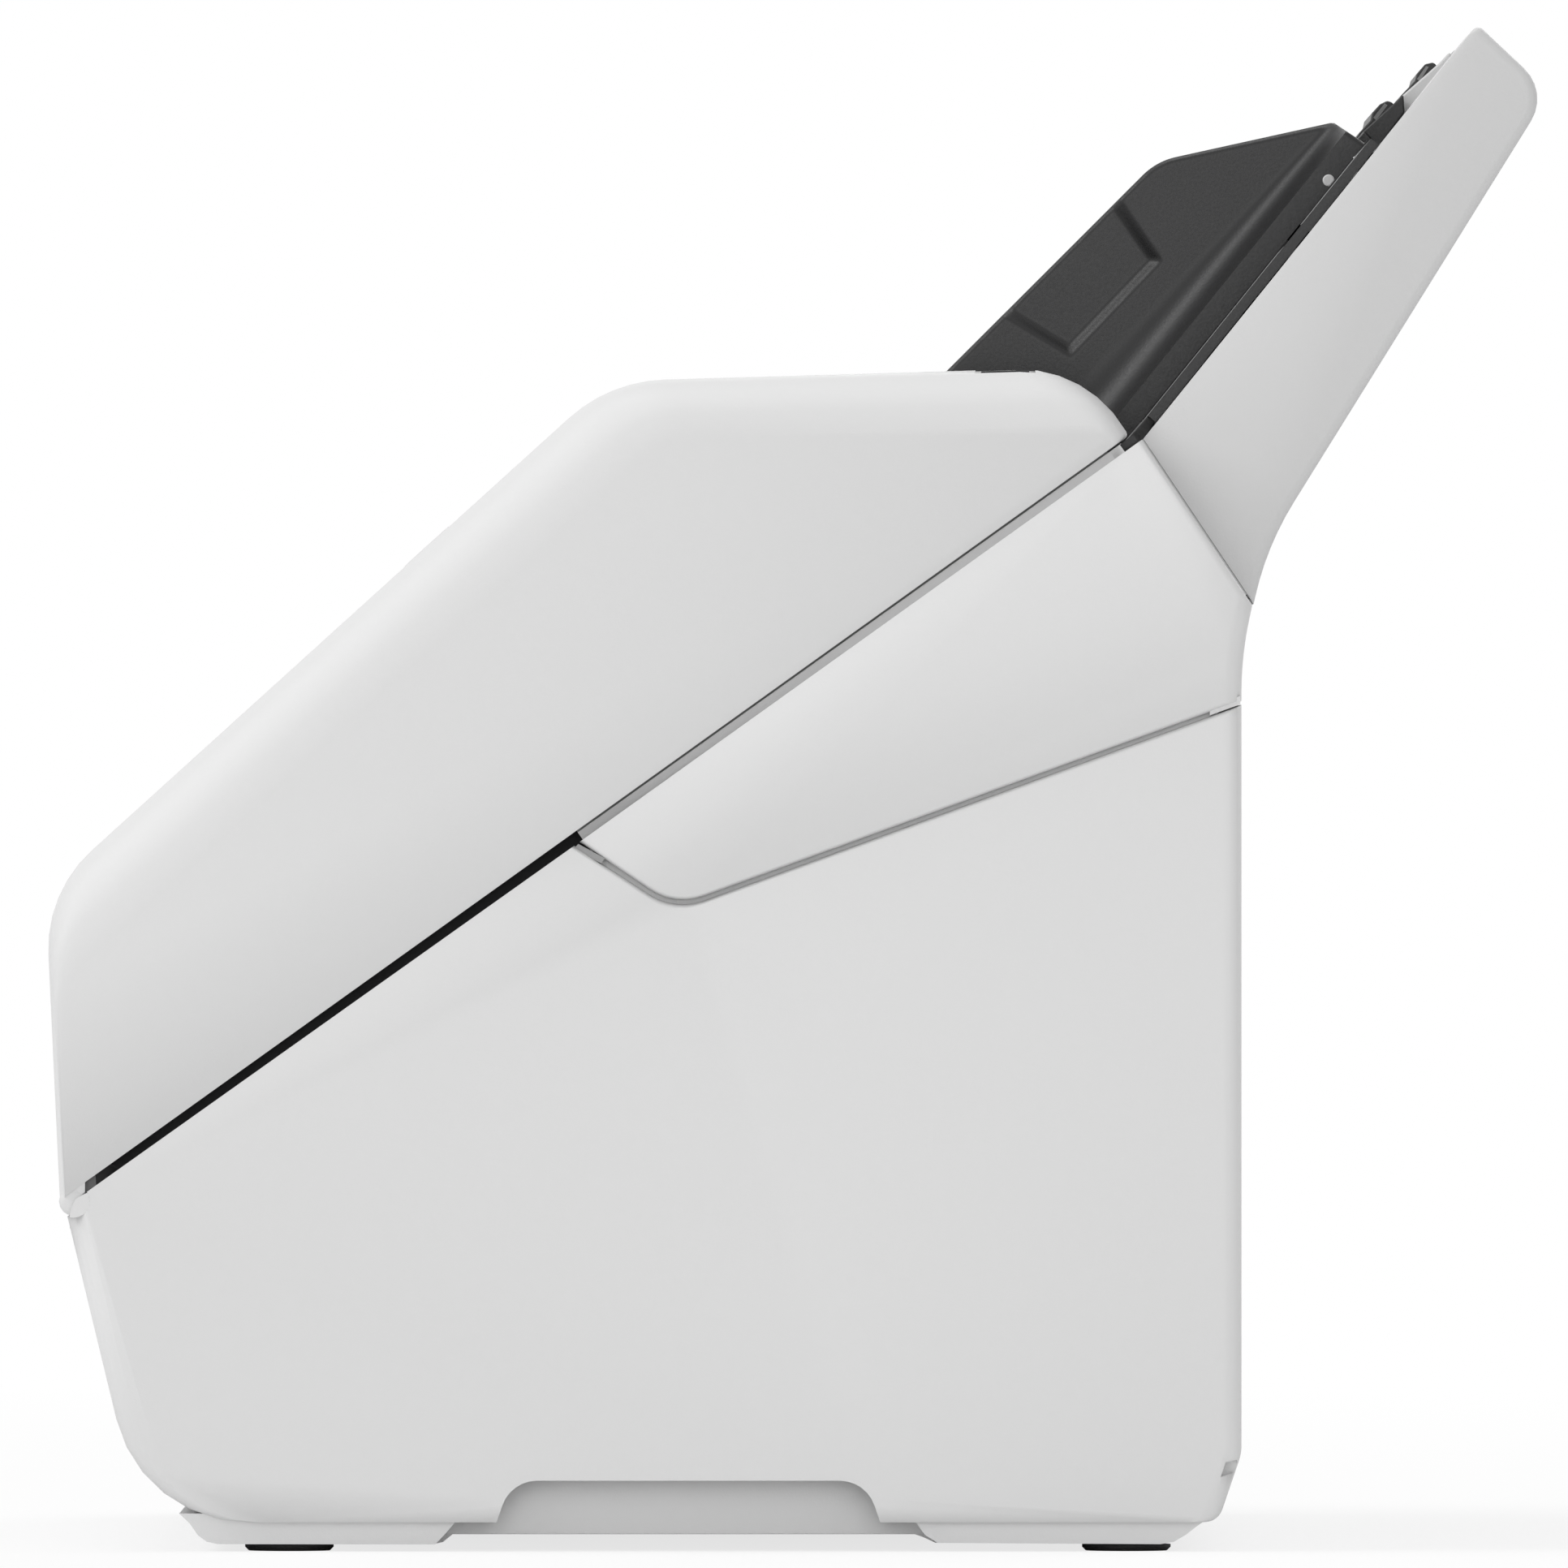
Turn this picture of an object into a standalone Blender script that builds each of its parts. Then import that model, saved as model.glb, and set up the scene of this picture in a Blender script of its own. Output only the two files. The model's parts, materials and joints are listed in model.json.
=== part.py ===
"""A desktop sheet-fed document scanner, modelled as the separate pieces that it comes apart into.

Metres, +Z up. The front faces -Y, the width runs along X, and the origin lies on the desk
under the middle of the whole outline.

Side-view places are written as shares of the body's depth and height. Three straight runs of the
side view carry the rest: the seam between base and hatch, the slant of the hatch and the paper bed.
A place on a run is given by a share of its length and a distance off it.
"""

import math

import bmesh
import bpy
from mathutils import Matrix, Vector

# Driving sizes of the whole
BODY_WIDTH = 0.310
HALF_WIDTH = BODY_WIDTH / 2
BODY_DEPTH = 0.1951
BODY_HEIGHT = 0.1934
TRAY_INSET = 0.0170
TRAY_WIDTH = BODY_WIDTH - 2 * TRAY_INSET
TRAY_RISE = 0.0564
TRAY_OVERHANG = 0.0487

# Walls and clearances
WALL = 0.0025
THIN_WALL = 0.0018
FIT = 0.0003
RUNNING = 0.0006
EASY = 0.0012
OVERRUN = 0.006
MERGE = 0.000005
TURN_MERGE = 0.00001

# Rounding
SHARP_ANGLE = math.radians(32)
ARC_STEPS = 6
WIDE_ARC_STEPS = 8
EDGE_STEPS = 4
ROUND_SIDES = 24
SMALL_SIDES = 14
PINCH_SIDES = 16

# Hatch outline
HINGE_SHARES = (0.0224, 0.2958)
SEAM_END_SHARES = (0.9101, 0.9364)
SLANT_FOOT_SHARES = (-0.0020, 0.5566)
SLANT_HEAD_SHARES = (0.4709, 0.9888)
HATCH_BACK_SHARES = (0.8727, 1.0006)
NOSE_RADIUS = 0.0215
BROW_RADIUS = 0.0244
BACK_RADIUS = 0.0200
TIP_RADIUS = 0.0008
HATCH_OFF = 0.00145
BASE_OFF = -0.00035
HATCH_EDGE_WIDTH = 0.010
HATCH_SLANT_ROUND = 0.0130
HATCH_TOP_ROUND = 0.0095
HATCH_FRONT_ROUND = 0.0012
HATCH_BACK_ROUND = 0.0030
END_RADIUS_SHARES = (1, 1, 0.175, 0.50, 0.42)

# Hinge of the hatch
KNUCKLE_RADIUS = 0.0024
HINGE_RELIEF = 0.0003
HINGE_PIN_RADIUS = 0.0010
HINGE_PIN_LENGTH = 0.0150
HINGE_HEAD_RADIUS = 0.0019
HINGE_HEAD = 0.0010
KNUCKLE_INSET = 0.0004
KNUCKLE_EASE = 0.0012
EAR_WIDTH = 0.0040
EXIT_INSET = 0.0350
EXIT_HALF_WIDTH = HALF_WIDTH - EXIT_INSET
EXIT_HEIGHT = 0.0075
EAR_DROP = 0.0048

# Base outline
BASE_FRONT_SHARES = (0.0152, 0.2906)
BASE_TOE_SHARES = (0.0788, 0.0248)
BASE_HEEL_SHARES = (0.9804, 0.0248)
BASE_BACK_SHARES = (1.0, 0.0827)
NOTCH_SHARES = (0.5257, 0.5409)
STEP_BACK_SHARES = (1.0, 0.7151)
STEP_SEAM_SHARE = 0.4710
TOE_RADIUS = 0.0220
HEEL_RADIUS = 0.0030
BASE_BACK_RADIUS = 0.0080
NOTCH_RADIUS = 0.0100
BASE_EDGE_ROUND = 0.0030
BASE_EDGE_WIDTH = 0.0030
STEP_CHAMFER = 0.0008
LIP = 0.0008
LIP_RISE = 0.0030
LIP_FOOT = 0.0030
LIP_SINK = 0.0006
STEP_LIP_SHARES = (0.0, 0.9600)
STEP_FRONT_LIP_SHARES = (0.2400, 1.0)
SEAM_LIP_SHARES = (0.4790, 0.9810)
SEAM_LIP_END_SHARE = 0.9900
SEAM_LIP_OFF = 0.0011
LOCK_SHARES = ((0.9865, 0.0754), (0.9824, 0.0630), (0.9966, 0.0677), (0.9960, 0.0774))
LOCK_DEPTH = 0.0022

# Rear cover
STEP_GAP = 0.0005
PARTING_HEAD_SHARE = 1.0060
PARTING_FOOT_SHARES = (1.0091, 0.7990)
COVER_WAIST_SHARES = (1.0, 0.7574)
COVER_WAIST_RADIUS = 0.0580
COVER_WAIST_END_SHARE = 0.3500
COVER_BACK_ROUND = 0.0030
COVER_PARTING_ROUND = 0.0013
COVER_SEAM_GAP = 0.0010

# Mouth of the hatch and its catch
MOUTH_INSET = 0.0310
MOUTH_HALF_WIDTH = HALF_WIDTH - MOUTH_INSET
MOUTH_SHARE = 0.9130
MOUTH_TURN = math.radians(24)
MOUTH_REACH_SHARE = 1.4
CATCH_INSET = 0.0160
CATCH_X = HALF_WIDTH - CATCH_INSET
CATCH_WIDTH = 0.0160
CATCH_SHARE = 0.9480
CATCH_THICK = 0.0040
CATCH_SWING = 0.0022
CATCH_REACH = 0.0034
CATCH_PIVOT_OFF = 0.0120
CATCH_CHANNEL_OFF = 0.0172
PAD_SHARES = (0.7750, 0.8750)
PAD_THICK = 0.0018
PAD_SINK = 0.0002
PAD_ROOM = 0.0010
TRUNNION_RADIUS = 0.0016
TRUNNION_REACH = 0.0022

# Paper path
BED_OFF = -0.0006
HATCH_BED_OFF = 0.00175
PLATE = 0.0020
RIB_INSET = 0.0370
RIB_X = HALF_WIDTH - RIB_INSET
RIB = 0.0030
RIB_FRONT_SHARE = 0.0900
RIB_BACK_SHARE = 0.9487
RIB_END_OFF = -0.0143
RIB_DEEP_OFF = -0.0286
MOTOR_LUG = 0.0182
HATCH_RIB_BACK_SHARE = 0.7106
HATCH_RIB_OFF = 0.0158
CHEEK_SHARES = (0.8037, 0.8756)
CHEEK_OFF = 0.0213
CHEEK_X = 0.0224
PATH_FRONT_SHARE = 0.0450
PATH_BACK_SHARE = 0.9780
FENCE = 0.0018
FENCE_OFF = 0.0042
FENCE_FRONT_SHARE = 0.0135
FENCE_RISE_SHARE = 0.0320
REAR_FENCE_OFF = 0.0011
REAR_FENCE_SHARE = 1.0030
FLANGE_WIDTH = 0.0070
FLANGE_OFF = 0.0050
NIP = 0.0003
ROLLER_PROUD = 0.0005

# Rollers of the base
SHAFT_RADIUS = 0.0030
SHAFT_RIGHT_REACH = 0.0070
SHAFT_LEFT_REACH = 0.0260
SHAFT_RIGHT_X = RIB_X + SHAFT_RIGHT_REACH
SHAFT_LEFT_X = -RIB_X - SHAFT_LEFT_REACH
PICK_SHARE = 0.8460
PICK_RADIUS = 0.0130
PICK_WIDTH = 0.0480
FEED_SHARE = 0.6580
FEED_RADIUS = 0.0110
EXIT_SHARE = 0.2120
EXIT_RADIUS = 0.0095
TYRE_WIDTH = 0.0300
TYRE_X = 0.0450
TYRE_EASE = 0.0009
WINDOW_EASE = 0.0015

# Rollers of the hatch
AXLE_RADIUS = 0.0020
SEPARATION_RADIUS = 0.0110
SEPARATION_WIDTH = 0.0400
SEPARATION_AXLE_HALF = 0.0320
PINCH_RADIUS = 0.0060
EXIT_PINCH_RADIUS = 0.0050
PINCH_WIDTH = 0.0180
AXLE_REACH = 0.0025
AXLE_HALF = RIB_X + AXLE_REACH

# Scan bars
LOWER_BAR_SHARE = 0.5060
UPPER_BAR_SHARE = 0.3990
BAR_LENGTH_SHARE = 0.1180
BAR_DEPTH = 0.0210
GLASS_LENGTH_SHARE = 0.0900
GLASS = 0.0016
GLASS_INSET = 0.0070
GLASS_HALF_WIDTH = RIB_X - GLASS_INSET
BAR_HALF_WIDTH = RIB_X - RUNNING

# Drive
DRIVE_REACH = 0.0100
DRIVE_X = -RIB_X - DRIVE_REACH
GEAR_WIDTH = 0.0050
BELT_REACH = 0.0205
BELT_X = -RIB_X - BELT_REACH
BELT_WIDTH = 0.0045
BELT = 0.0009
PULLEY_RADIUS = 0.0044
FLANGE_RADIUS = 0.0056
FLANGE = 0.0008
GEAR_MODULE = 0.0008
MOTOR_TEETH = 10
IDLER_TEETH = 24
FEED_TEETH = 16
PRESSURE_ANGLE = math.radians(25)
ADDENDUM_SHARE = 0.75
DEDENDUM_SHARE = 1.05
BACKLASH = 0.00020
IDLER_DIRECTION = math.radians(-120)
MOTOR_DIRECTION = math.radians(-90)
IDLER_STUD_RADIUS = 0.0020
MOTOR_RADIUS = 0.0130
MOTOR_LENGTH = 0.0280
MOTOR_SHAFT_RADIUS = 0.0010
MOTOR_BOSS_RADIUS = 0.0040
MOTOR_BOSS = 0.0015

# Board and sockets
BOARD = 0.0016
BOARD_INSET = 0.0570
BOARD_HALF_WIDTH = HALF_WIDTH - BOARD_INSET
BOARD_FOOT = 0.0140
BOARD_HEIGHT = 0.0900
BOARD_BACK = 0.0080
SOCKET_Z = 0.0300
DC_X = -0.0620
DC_WIDTH = 0.0090
DC_HEIGHT = 0.0110
DC_BORE_RADIUS = 0.0032
USB_X = -0.0300
USB_WIDTH = 0.0120
USB_HEIGHT = 0.0110
USB_HOLE_WIDTH = 0.0085
USB_HOLE_HEIGHT = 0.0075
SOCKET_HOLE_DEPTH = 0.0080

# Bottom pan and feet
PAN_LIFT = 0.0012
PAN_MIDDLE_LIFT = 0.0026
PAN_TOP = 0.0046
PAN_SIDE_INSET = 0.0021
PAN_FRONT_SHARE = 0.1400
PAN_BACK_SHARE = 0.9650
PAN_STEP_SHARES = (0.3340, 0.7350)
PAN_FRONT_RISE = 0.0045
PAN_BACK_RISE = 0.0046
PAN_SLOPE = 0.0026
PAN_OPENING_SHARES = (0.1680, 0.9500)
GRIP_MIDDLE_SHARE = 0.5370
GRIP_LENGTH = 0.0700
GRIP_HEIGHT = 0.0070
GRIP_DEPTH = 0.0075
GRIP_RADIUS = 0.0060
FOOT_RADIUS = 0.00725
FOOT_EDGE = 0.0006
FOOT_INSET = 0.0120
FOOT_X = HALF_WIDTH - FOOT_INSET
FOOT_SHARES = (0.2023, 0.9040)

# Output tray
DRAWER_INSET = 0.0430
DRAWER_HALF_WIDTH = HALF_WIDTH - DRAWER_INSET
DRAWER_LOW_SHARE = 0.1450
DRAWER_HEIGHT = 0.0180
DRAWER_PLATE = 0.0025
DRAWER_LENGTH = 0.1140
DRAWER_CUT = 0.0240
STOP_THICK = 0.0030
STOP_KNUCKLE = 0.0018
SHELF = 0.0024
SHELF_REACH = 0.0100
SHELF_LENGTH_SHARE = 0.5000
SHELF_FACE_SHARE = 0.5000

# Input tray
APEX_SHARE = 0.7970
TRAY_TOP_DROP = 0.0111
TRAY_BACK_SHARE = 1.0390
TRAY_WAIST_SHARES = (1.0220, 0.8494)
APEX_RADIUS = 0.0012
CREST_RADIUS = 0.0069
WAIST_RADIUS = 0.0500
WAIST_INNER_RADIUS = 0.0250
TRAY_EDGE_ROUND = 0.0016
TRAY_EDGE_WIDTH = 0.0016
PAPER_BED = 0.0016
PAPER_BED_OFF = 0.0002
PAPER_BED_SHARES = (0.0400, 0.7080)

# Side guides
GUIDE_INSET = 0.0297
GUIDE_INNER_X = TRAY_WIDTH / 2 - GUIDE_INSET
GUIDE_WALL = 0.0040
GUIDE_FOOT_WIDTH = 0.0120
GUIDE_GAP = 0.0003
GUIDE_RIDGE = 0.0055
GUIDE_FLARE_RADIUS = 0.0125
GUIDE_FLARE_TURN = math.radians(68)
GUIDE_HEIGHT = 0.0313
GUIDE_HEEL_SHARES = (0.0160, 0.0)
GUIDE_TOE_SHARES = (-0.1300, 1.0)
GUIDE_BROW_SHARES = (0.3850, 0.8600)
GUIDE_PEAK_SHARES = (0.7080, 0.2500)
GUIDE_END_SHARES = (0.7050, 0.0)
GUIDE_TOE_RADIUS = 0.0015
GUIDE_BROW_RADIUS = 0.0150
GUIDE_PEAK_RADIUS = 0.0016
FLARE_LENGTH = 0.1800
FLARE_MIDDLE_SHARE = 0.5
FINGER_SHARES = ((0.0360, 0.0175), (0.2900, 0.0156), (0.3320, 0.0290), (0.0170, 0.0305))
FINGER_DEPTH = 0.0016
FINGER_SLOPE = 0.0012
FOOT_NOTCH_SHARE = 0.6010
FOOT_NOTCH_RADIUS = 0.0014
FOOT_NOTCH_DEPTH = 0.0020
STEM_WIDTH = 0.0060
GUIDE_TRAVEL = 0.0830

# Rack and pinion of the guides
RACK_MODULE = 0.0015
RACK_TEETH = 22
PINION_TEETH = 12
PINION_SHARE = 0.3400
RACK_THICK = 0.0030
RACK_BODY = 0.0040
RACK_LEAD_TEETH = 1.5
PINION_BORE_RADIUS = 0.0022
SLOT_EASE = 0.0005

# Extensions of the input tray
EXTENSION = 0.0018
EXTENSION_OFF = -0.0042
EXTENSION_GAP = 0.0004
EXTENSION_HALF_WIDTHS = (0.0950, 0.0600)
EXTENSION_FOOT_SHARE = 0.0900
EXTENSION_TOP_SHARES = (0.8200, 0.9680)
EXTENSION_SLOT_SHARE = 0.8700
SLOT_END_SHARE = 1.2000
FACE_SHARE = 0.7140
GRIP_PROUD = 0.0022
GRIP_HALF_WIDTHS = (0.0420, 0.0300)
LOWER_GRIP_SHARES = (0.7220, 0.8150)
UPPER_GRIP_SHARES = (0.8300, 0.9300)
GRIP_CORNER = 0.0010

# Control panel
PANEL_INSET = 0.0930
PANEL_X = HALF_WIDTH - PANEL_INSET
PANEL_WIDTH = 0.1000
PANEL_SHARES = (0.5200, 0.8300)
PANEL_SINK = 0.0002
PANEL_THICK = 0.0028
DISPLAY_OFFSET = -0.0220
DISPLAY_X = PANEL_X + DISPLAY_OFFSET
DISPLAY_WIDTH = 0.0440
DISPLAY_SHARES = (0.5650, 0.7850)
DISPLAY_THICK = 0.0012
BUTTON_RADIUS = 0.0055
BUTTON_COLLAR = 0.0070
BUTTON_COLLAR_THICK = 0.0012
BUTTON_PROUD = 0.0006
BUTTON_HOLE_DEPTH = 0.0112
BUTTON_OFFSETS = (0.0160, 0.0360)
BUTTON_SHARE = 0.6750


def side_point(shares):
    """A point of the side view, from its shares of the body's depth and height."""
    return Vector((FRONT_Y + shares[0] * BODY_DEPTH, shares[1] * BODY_HEIGHT))


class Run:
    """A straight line of the side view, with places given along it and off it."""

    def __init__(self, start, end):
        self.start = start
        self.length = (end - start).length
        self.along = (end - start).normalized()
        self.off = Vector((-self.along.y, self.along.x))
        self.angle = math.atan2(self.along.y, self.along.x)

    def at(self, share, off=0):
        return self.start + self.along * (share * self.length) + self.off * off

    def strip(self, first, last, low, high):
        """The four corners of a straight strip along this run."""
        return [self.at(first, low), self.at(last, low), self.at(last, high), self.at(first, high)]


FRONT_Y = -(BODY_DEPTH + TRAY_OVERHANG) / 2
REAR_Y = FRONT_Y + BODY_DEPTH
HINGE = side_point(HINGE_SHARES)
SEAM = Run(HINGE, side_point(SEAM_END_SHARES))
SLANT = Run(side_point(SLANT_FOOT_SHARES), side_point(SLANT_HEAD_SHARES))
TOP = Run(side_point(SLANT_HEAD_SHARES), side_point(HATCH_BACK_SHARES))
PARTING = Run(SEAM.at(PARTING_HEAD_SHARE, BASE_OFF), side_point(PARTING_FOOT_SHARES))
APEX = Vector((REAR_Y + APEX_SHARE * TRAY_OVERHANG, BODY_HEIGHT + TRAY_RISE))
TRAY = Run(PARTING.at(0, STEP_GAP), APEX)
STEP = Run(side_point(NOTCH_SHARES), side_point(STEP_BACK_SHARES))
STEP_FRONT = Run(SEAM.at(STEP_SEAM_SHARE, BASE_OFF), side_point(NOTCH_SHARES))
BASE_FACE = Run(side_point(BASE_TOE_SHARES), side_point(BASE_FRONT_SHARES))
MOUTH_RADIUS = MOUTH_SHARE * SEAM.length


def surface(name, colour, roughness, metallic=0.0):
    """A plain plastic, rubber or metal."""
    made = bpy.data.materials.get(name) or bpy.data.materials.new(name)
    made.use_nodes = True
    shader = made.node_tree.nodes["Principled BSDF"]
    shader.inputs["Base Color"].default_value = (*colour, 1)
    shader.inputs["Roughness"].default_value = roughness
    shader.inputs["Metallic"].default_value = metallic
    return made


def case_plastic():
    return surface("case_plastic", (0.62, 0.62, 0.62), 0.5)


def tray_plastic():
    return surface("tray_plastic", (0.56, 0.56, 0.56), 0.5)


def dark_plastic():
    return surface("dark_plastic", (0.045, 0.045, 0.047), 0.45)


def inner_plastic():
    return surface("inner_plastic", (0.03, 0.03, 0.032), 0.55)


def gear_plastic():
    return surface("gear_plastic", (0.7, 0.69, 0.64), 0.4)


def rubber():
    return surface("rubber", (0.025, 0.025, 0.025), 0.85)


def steel():
    return surface("steel", (0.6, 0.6, 0.6), 0.3, 1.0)


def bar_glass():
    return surface("bar_glass", (0.05, 0.055, 0.06), 0.08)


def board_green():
    return surface("board_green", (0.02, 0.1, 0.045), 0.5)


def belt_rubber():
    return surface("belt_rubber", (0.02, 0.02, 0.02), 0.7)


def clear_scene():
    for old in list(bpy.data.objects):
        bpy.data.objects.remove(old, do_unlink=True)


def new_collection(name):
    made = bpy.data.collections.new(name)
    bpy.context.scene.collection.children.link(made)
    return made


def add_object(name, mesh, collection="Cutters"):
    made = bpy.data.objects.new(name, mesh)
    bpy.data.collections[collection].objects.link(made)
    if collection == "Cutters":
        made.hide_render = True
        made.display_type = "WIRE"
    return made


def keep(piece, material, origin=None):
    """Makes a shape one of the scanner's parts, with its origin on the axis it turns on or slides from."""
    bpy.data.collections["Cutters"].objects.unlink(piece)
    bpy.data.collections["Sheet-fed scanner"].objects.link(piece)
    piece.hide_render = False
    piece.display_type = "TEXTURED"
    piece.data.materials.clear()
    piece.data.materials.append(material)
    if origin is not None:
        shift = Matrix.Translation(origin)
        piece.data.transform(shift.inverted() @ piece.matrix_world)
        piece.matrix_world = shift
    return piece


def smooth(piece):
    """Smooth shading on round stretches, sharp at the real edges."""
    piece.data.shade_smooth()
    piece.data.set_sharp_from_angle(angle=SHARP_ANGLE)
    return piece


def in_space(x, flat):
    """A side-view point at a place across the width."""
    return Vector((x, flat.x, flat.y))


def plane_across(middle):
    """Takes a flat drawing's x, y to the side view's Y, Z, and its normal to X."""
    return Matrix(((0, 0, 1, middle), (1, 0, 0, 0), (0, 1, 0, 0), (0, 0, 0, 1)))


def plane_on(run, share, off):
    """Takes a flat drawing's x, y to the width and a run's direction, and its normal off the run."""
    start = run.at(share, off)
    columns = (Vector((1, 0, 0)), in_space(0, run.along), in_space(0, run.off))
    made = Matrix.Identity(4)
    for column, axis in enumerate(columns):
        for row in range(3):
            made[row][column] = axis[row]
    made.translation = in_space(0, start)
    return made


def plane_along(run, share):
    """Takes a flat drawing's x, y to the width and off a run, and its normal against the run."""
    start = run.at(share)
    columns = (Vector((1, 0, 0)), in_space(0, run.off), -in_space(0, run.along))
    made = Matrix.Identity(4)
    for column, axis in enumerate(columns):
        for row in range(3):
            made[row][column] = axis[row]
    made.translation = in_space(0, start)
    return made


def extruded(name, rings, depth, placing):
    """A flat outline, with any rings after the first as holes, carried half its depth each way."""
    drawing = bpy.data.curves.new(name, "CURVE")
    drawing.dimensions = "2D"
    drawing.fill_mode = "BOTH"
    drawing.extrude = depth / 2
    for ring in rings:
        spline = drawing.splines.new("POLY")
        spline.points.add(len(ring) - 1)
        spline.use_cyclic_u = True
        for point, place in zip(spline.points, ring):
            point.co = (place[0], place[1], 0, 1)
    flat = bpy.data.objects.new(name, drawing)
    bpy.context.scene.collection.objects.link(flat)
    graph = bpy.context.evaluated_depsgraph_get()
    mesh = bpy.data.meshes.new_from_object(flat.evaluated_get(graph))
    bpy.data.objects.remove(flat)
    mesh.transform(placing)
    shell = bmesh.new()
    shell.from_mesh(mesh)
    bmesh.ops.remove_doubles(shell, verts=shell.verts, dist=MERGE)
    bmesh.ops.recalc_face_normals(shell, faces=shell.faces)
    shell.to_mesh(mesh)
    shell.free()
    return add_object(name, mesh)


def prism(name, rings, x_from, x_to):
    """A side-view outline carried across the width."""
    return extruded(name, rings, abs(x_to - x_from), plane_across((x_from + x_to) / 2))


def rounded(corners, steps=ARC_STEPS):
    """A closed outline with its corners rounded. Each corner is its point and its radius."""
    points = []
    for index, (here, radius) in enumerate(corners):
        if radius == 0:
            points.append(here)
            continue
        before = corners[index - 1][0]
        after = corners[(index + 1) % len(corners)][0]
        into = (here - before).normalized()
        out = (after - here).normalized()
        turn = math.atan2(into.x * out.y - into.y * out.x, into.dot(out))
        reach = radius * math.tan(abs(turn) / 2)
        start = here - into * reach
        side = math.copysign(1, turn)
        centre = start + Vector((-into.y, into.x)) * (radius * side)
        spoke = start - centre
        for step in range(steps + 1):
            points.append(centre + Matrix.Rotation(turn * step / steps, 2) @ spoke)
    return points


def shifted(corners, shifts):
    """The outline with each edge moved inward by its own distance; an edge follows its corner."""
    count = len(corners)
    lines = []
    for index in range(count):
        start = corners[index][0]
        along = (corners[(index + 1) % count][0] - start).normalized()
        inward = Vector((-along.y, along.x))
        lines.append((start + inward * shifts[index], along))
    moved = []
    for index in range(count):
        (a, along_a), (b, along_b) = lines[index - 1], lines[index]
        cross = along_a.x * along_b.y - along_a.y * along_b.x
        between = b - a
        reach = (between.x * along_b.y - between.y * along_b.x) / cross
        radius = corners[index][1]
        closer = max(0, min(shifts[index - 1], shifts[index]))
        kept = max(radius - closer, radius / 3)
        moved.append((a + along_a * reach, kept))
    return moved


def crowned(name, corners, end_corners, half_width, edge_width, steps=EDGE_STEPS):
    """A side-view outline carried across the width, drawn in to its end outline round each outer edge."""
    stations = []
    for step in range(steps + 1):
        angle = math.pi / 2 * step / steps
        x = half_width - edge_width * (1 - math.cos(angle))
        share = 1 - math.sin(angle)
        between = []
        for (point, radius), (end, end_radius) in zip(corners, end_corners):
            between.append((point.lerp(end, share), radius + (end_radius - radius) * share))
        stations.append((x, rounded(between)))
    return lofted(name, [(-x, ring) for x, ring in stations] + [(x, ring) for x, ring in reversed(stations)])


def lofted(name, rings):
    """A solid through side-view outlines of as many points each, every one at its own X."""
    shell = bmesh.new()
    rows = [[shell.verts.new((x, point.x, point.y)) for point in ring] for x, ring in rings]
    for row, following in zip(rows, rows[1:]):
        for index in range(len(row)):
            turn = (index + 1) % len(row)
            shell.faces.new((row[index], row[turn], following[turn], following[index]))
    shell.faces.new(rows[0])
    shell.faces.new(rows[-1])
    bmesh.ops.recalc_face_normals(shell, faces=shell.faces)
    mesh = bpy.data.meshes.new(name)
    shell.to_mesh(mesh)
    shell.free()
    return add_object(name, mesh)


def block(name, x_from, x_to, y_from, y_to, z_from, z_to):
    """An upright box between two corners."""
    size = Vector((abs(x_to - x_from), abs(y_to - y_from), abs(z_to - z_from)))
    middle = Vector((x_from + x_to, y_from + y_to, z_from + z_to)) / 2
    shell = bmesh.new()
    bmesh.ops.create_cube(shell, size=1, matrix=Matrix.Translation(middle) @ Matrix.Diagonal((*size, 1)))
    mesh = bpy.data.meshes.new(name)
    shell.to_mesh(mesh)
    shell.free()
    return add_object(name, mesh)


def rod(name, radius, x_from, x_to, centre, sides=SMALL_SIDES):
    """A round bar across the width, about a side-view point."""
    middle = in_space((x_from + x_to) / 2, centre)
    placing = Matrix.Translation(middle) @ Matrix.Rotation(math.pi / 2, 4, "Y")
    shell = bmesh.new()
    bmesh.ops.create_cone(
        shell, cap_ends=True, segments=sides, radius1=radius, radius2=radius,
        depth=abs(x_to - x_from), matrix=placing,
    )
    mesh = bpy.data.meshes.new(name)
    shell.to_mesh(mesh)
    shell.free()
    return add_object(name, mesh)


def turned(name, profile, placing, sides=ROUND_SIDES):
    """A turned piece. The profile gives radius and height, from its top end down."""
    mesh = bpy.data.meshes.new(name)
    verts = [(radius, 0, height) for radius, height in profile]
    edges = [(index, index + 1) for index in range(len(profile) - 1)]
    if profile[0][0] > 0:
        edges.append((len(profile) - 1, 0))
    mesh.from_pydata(verts, edges, [])
    piece = add_object(name, mesh)
    piece.matrix_world = placing
    screw = piece.modifiers.new("Turn", "SCREW")
    screw.angle = math.tau
    screw.steps = sides
    screw.render_steps = sides
    screw.use_merge_vertices = True
    screw.merge_threshold = TURN_MERGE
    return piece


def spun_across(name, profile, centre, sides=ROUND_SIDES):
    """A turned piece on an axis across the width; its profile gives radius and X, from +X down."""
    placing = Matrix.Translation(in_space(0, centre)) @ Matrix.Rotation(math.pi / 2, 4, "Y")
    return turned(name, profile, placing, sides)


def combine(piece, operation, others, solver="EXACT"):
    for other in others:
        step = piece.modifiers.new(other.name, "BOOLEAN")
        step.operation = operation
        step.solver = solver
        step.object = other
    return piece


def cut(piece, *cutters):
    return combine(piece, "DIFFERENCE", cutters)


def join(piece, *others):
    return combine(piece, "UNION", others)


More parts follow.
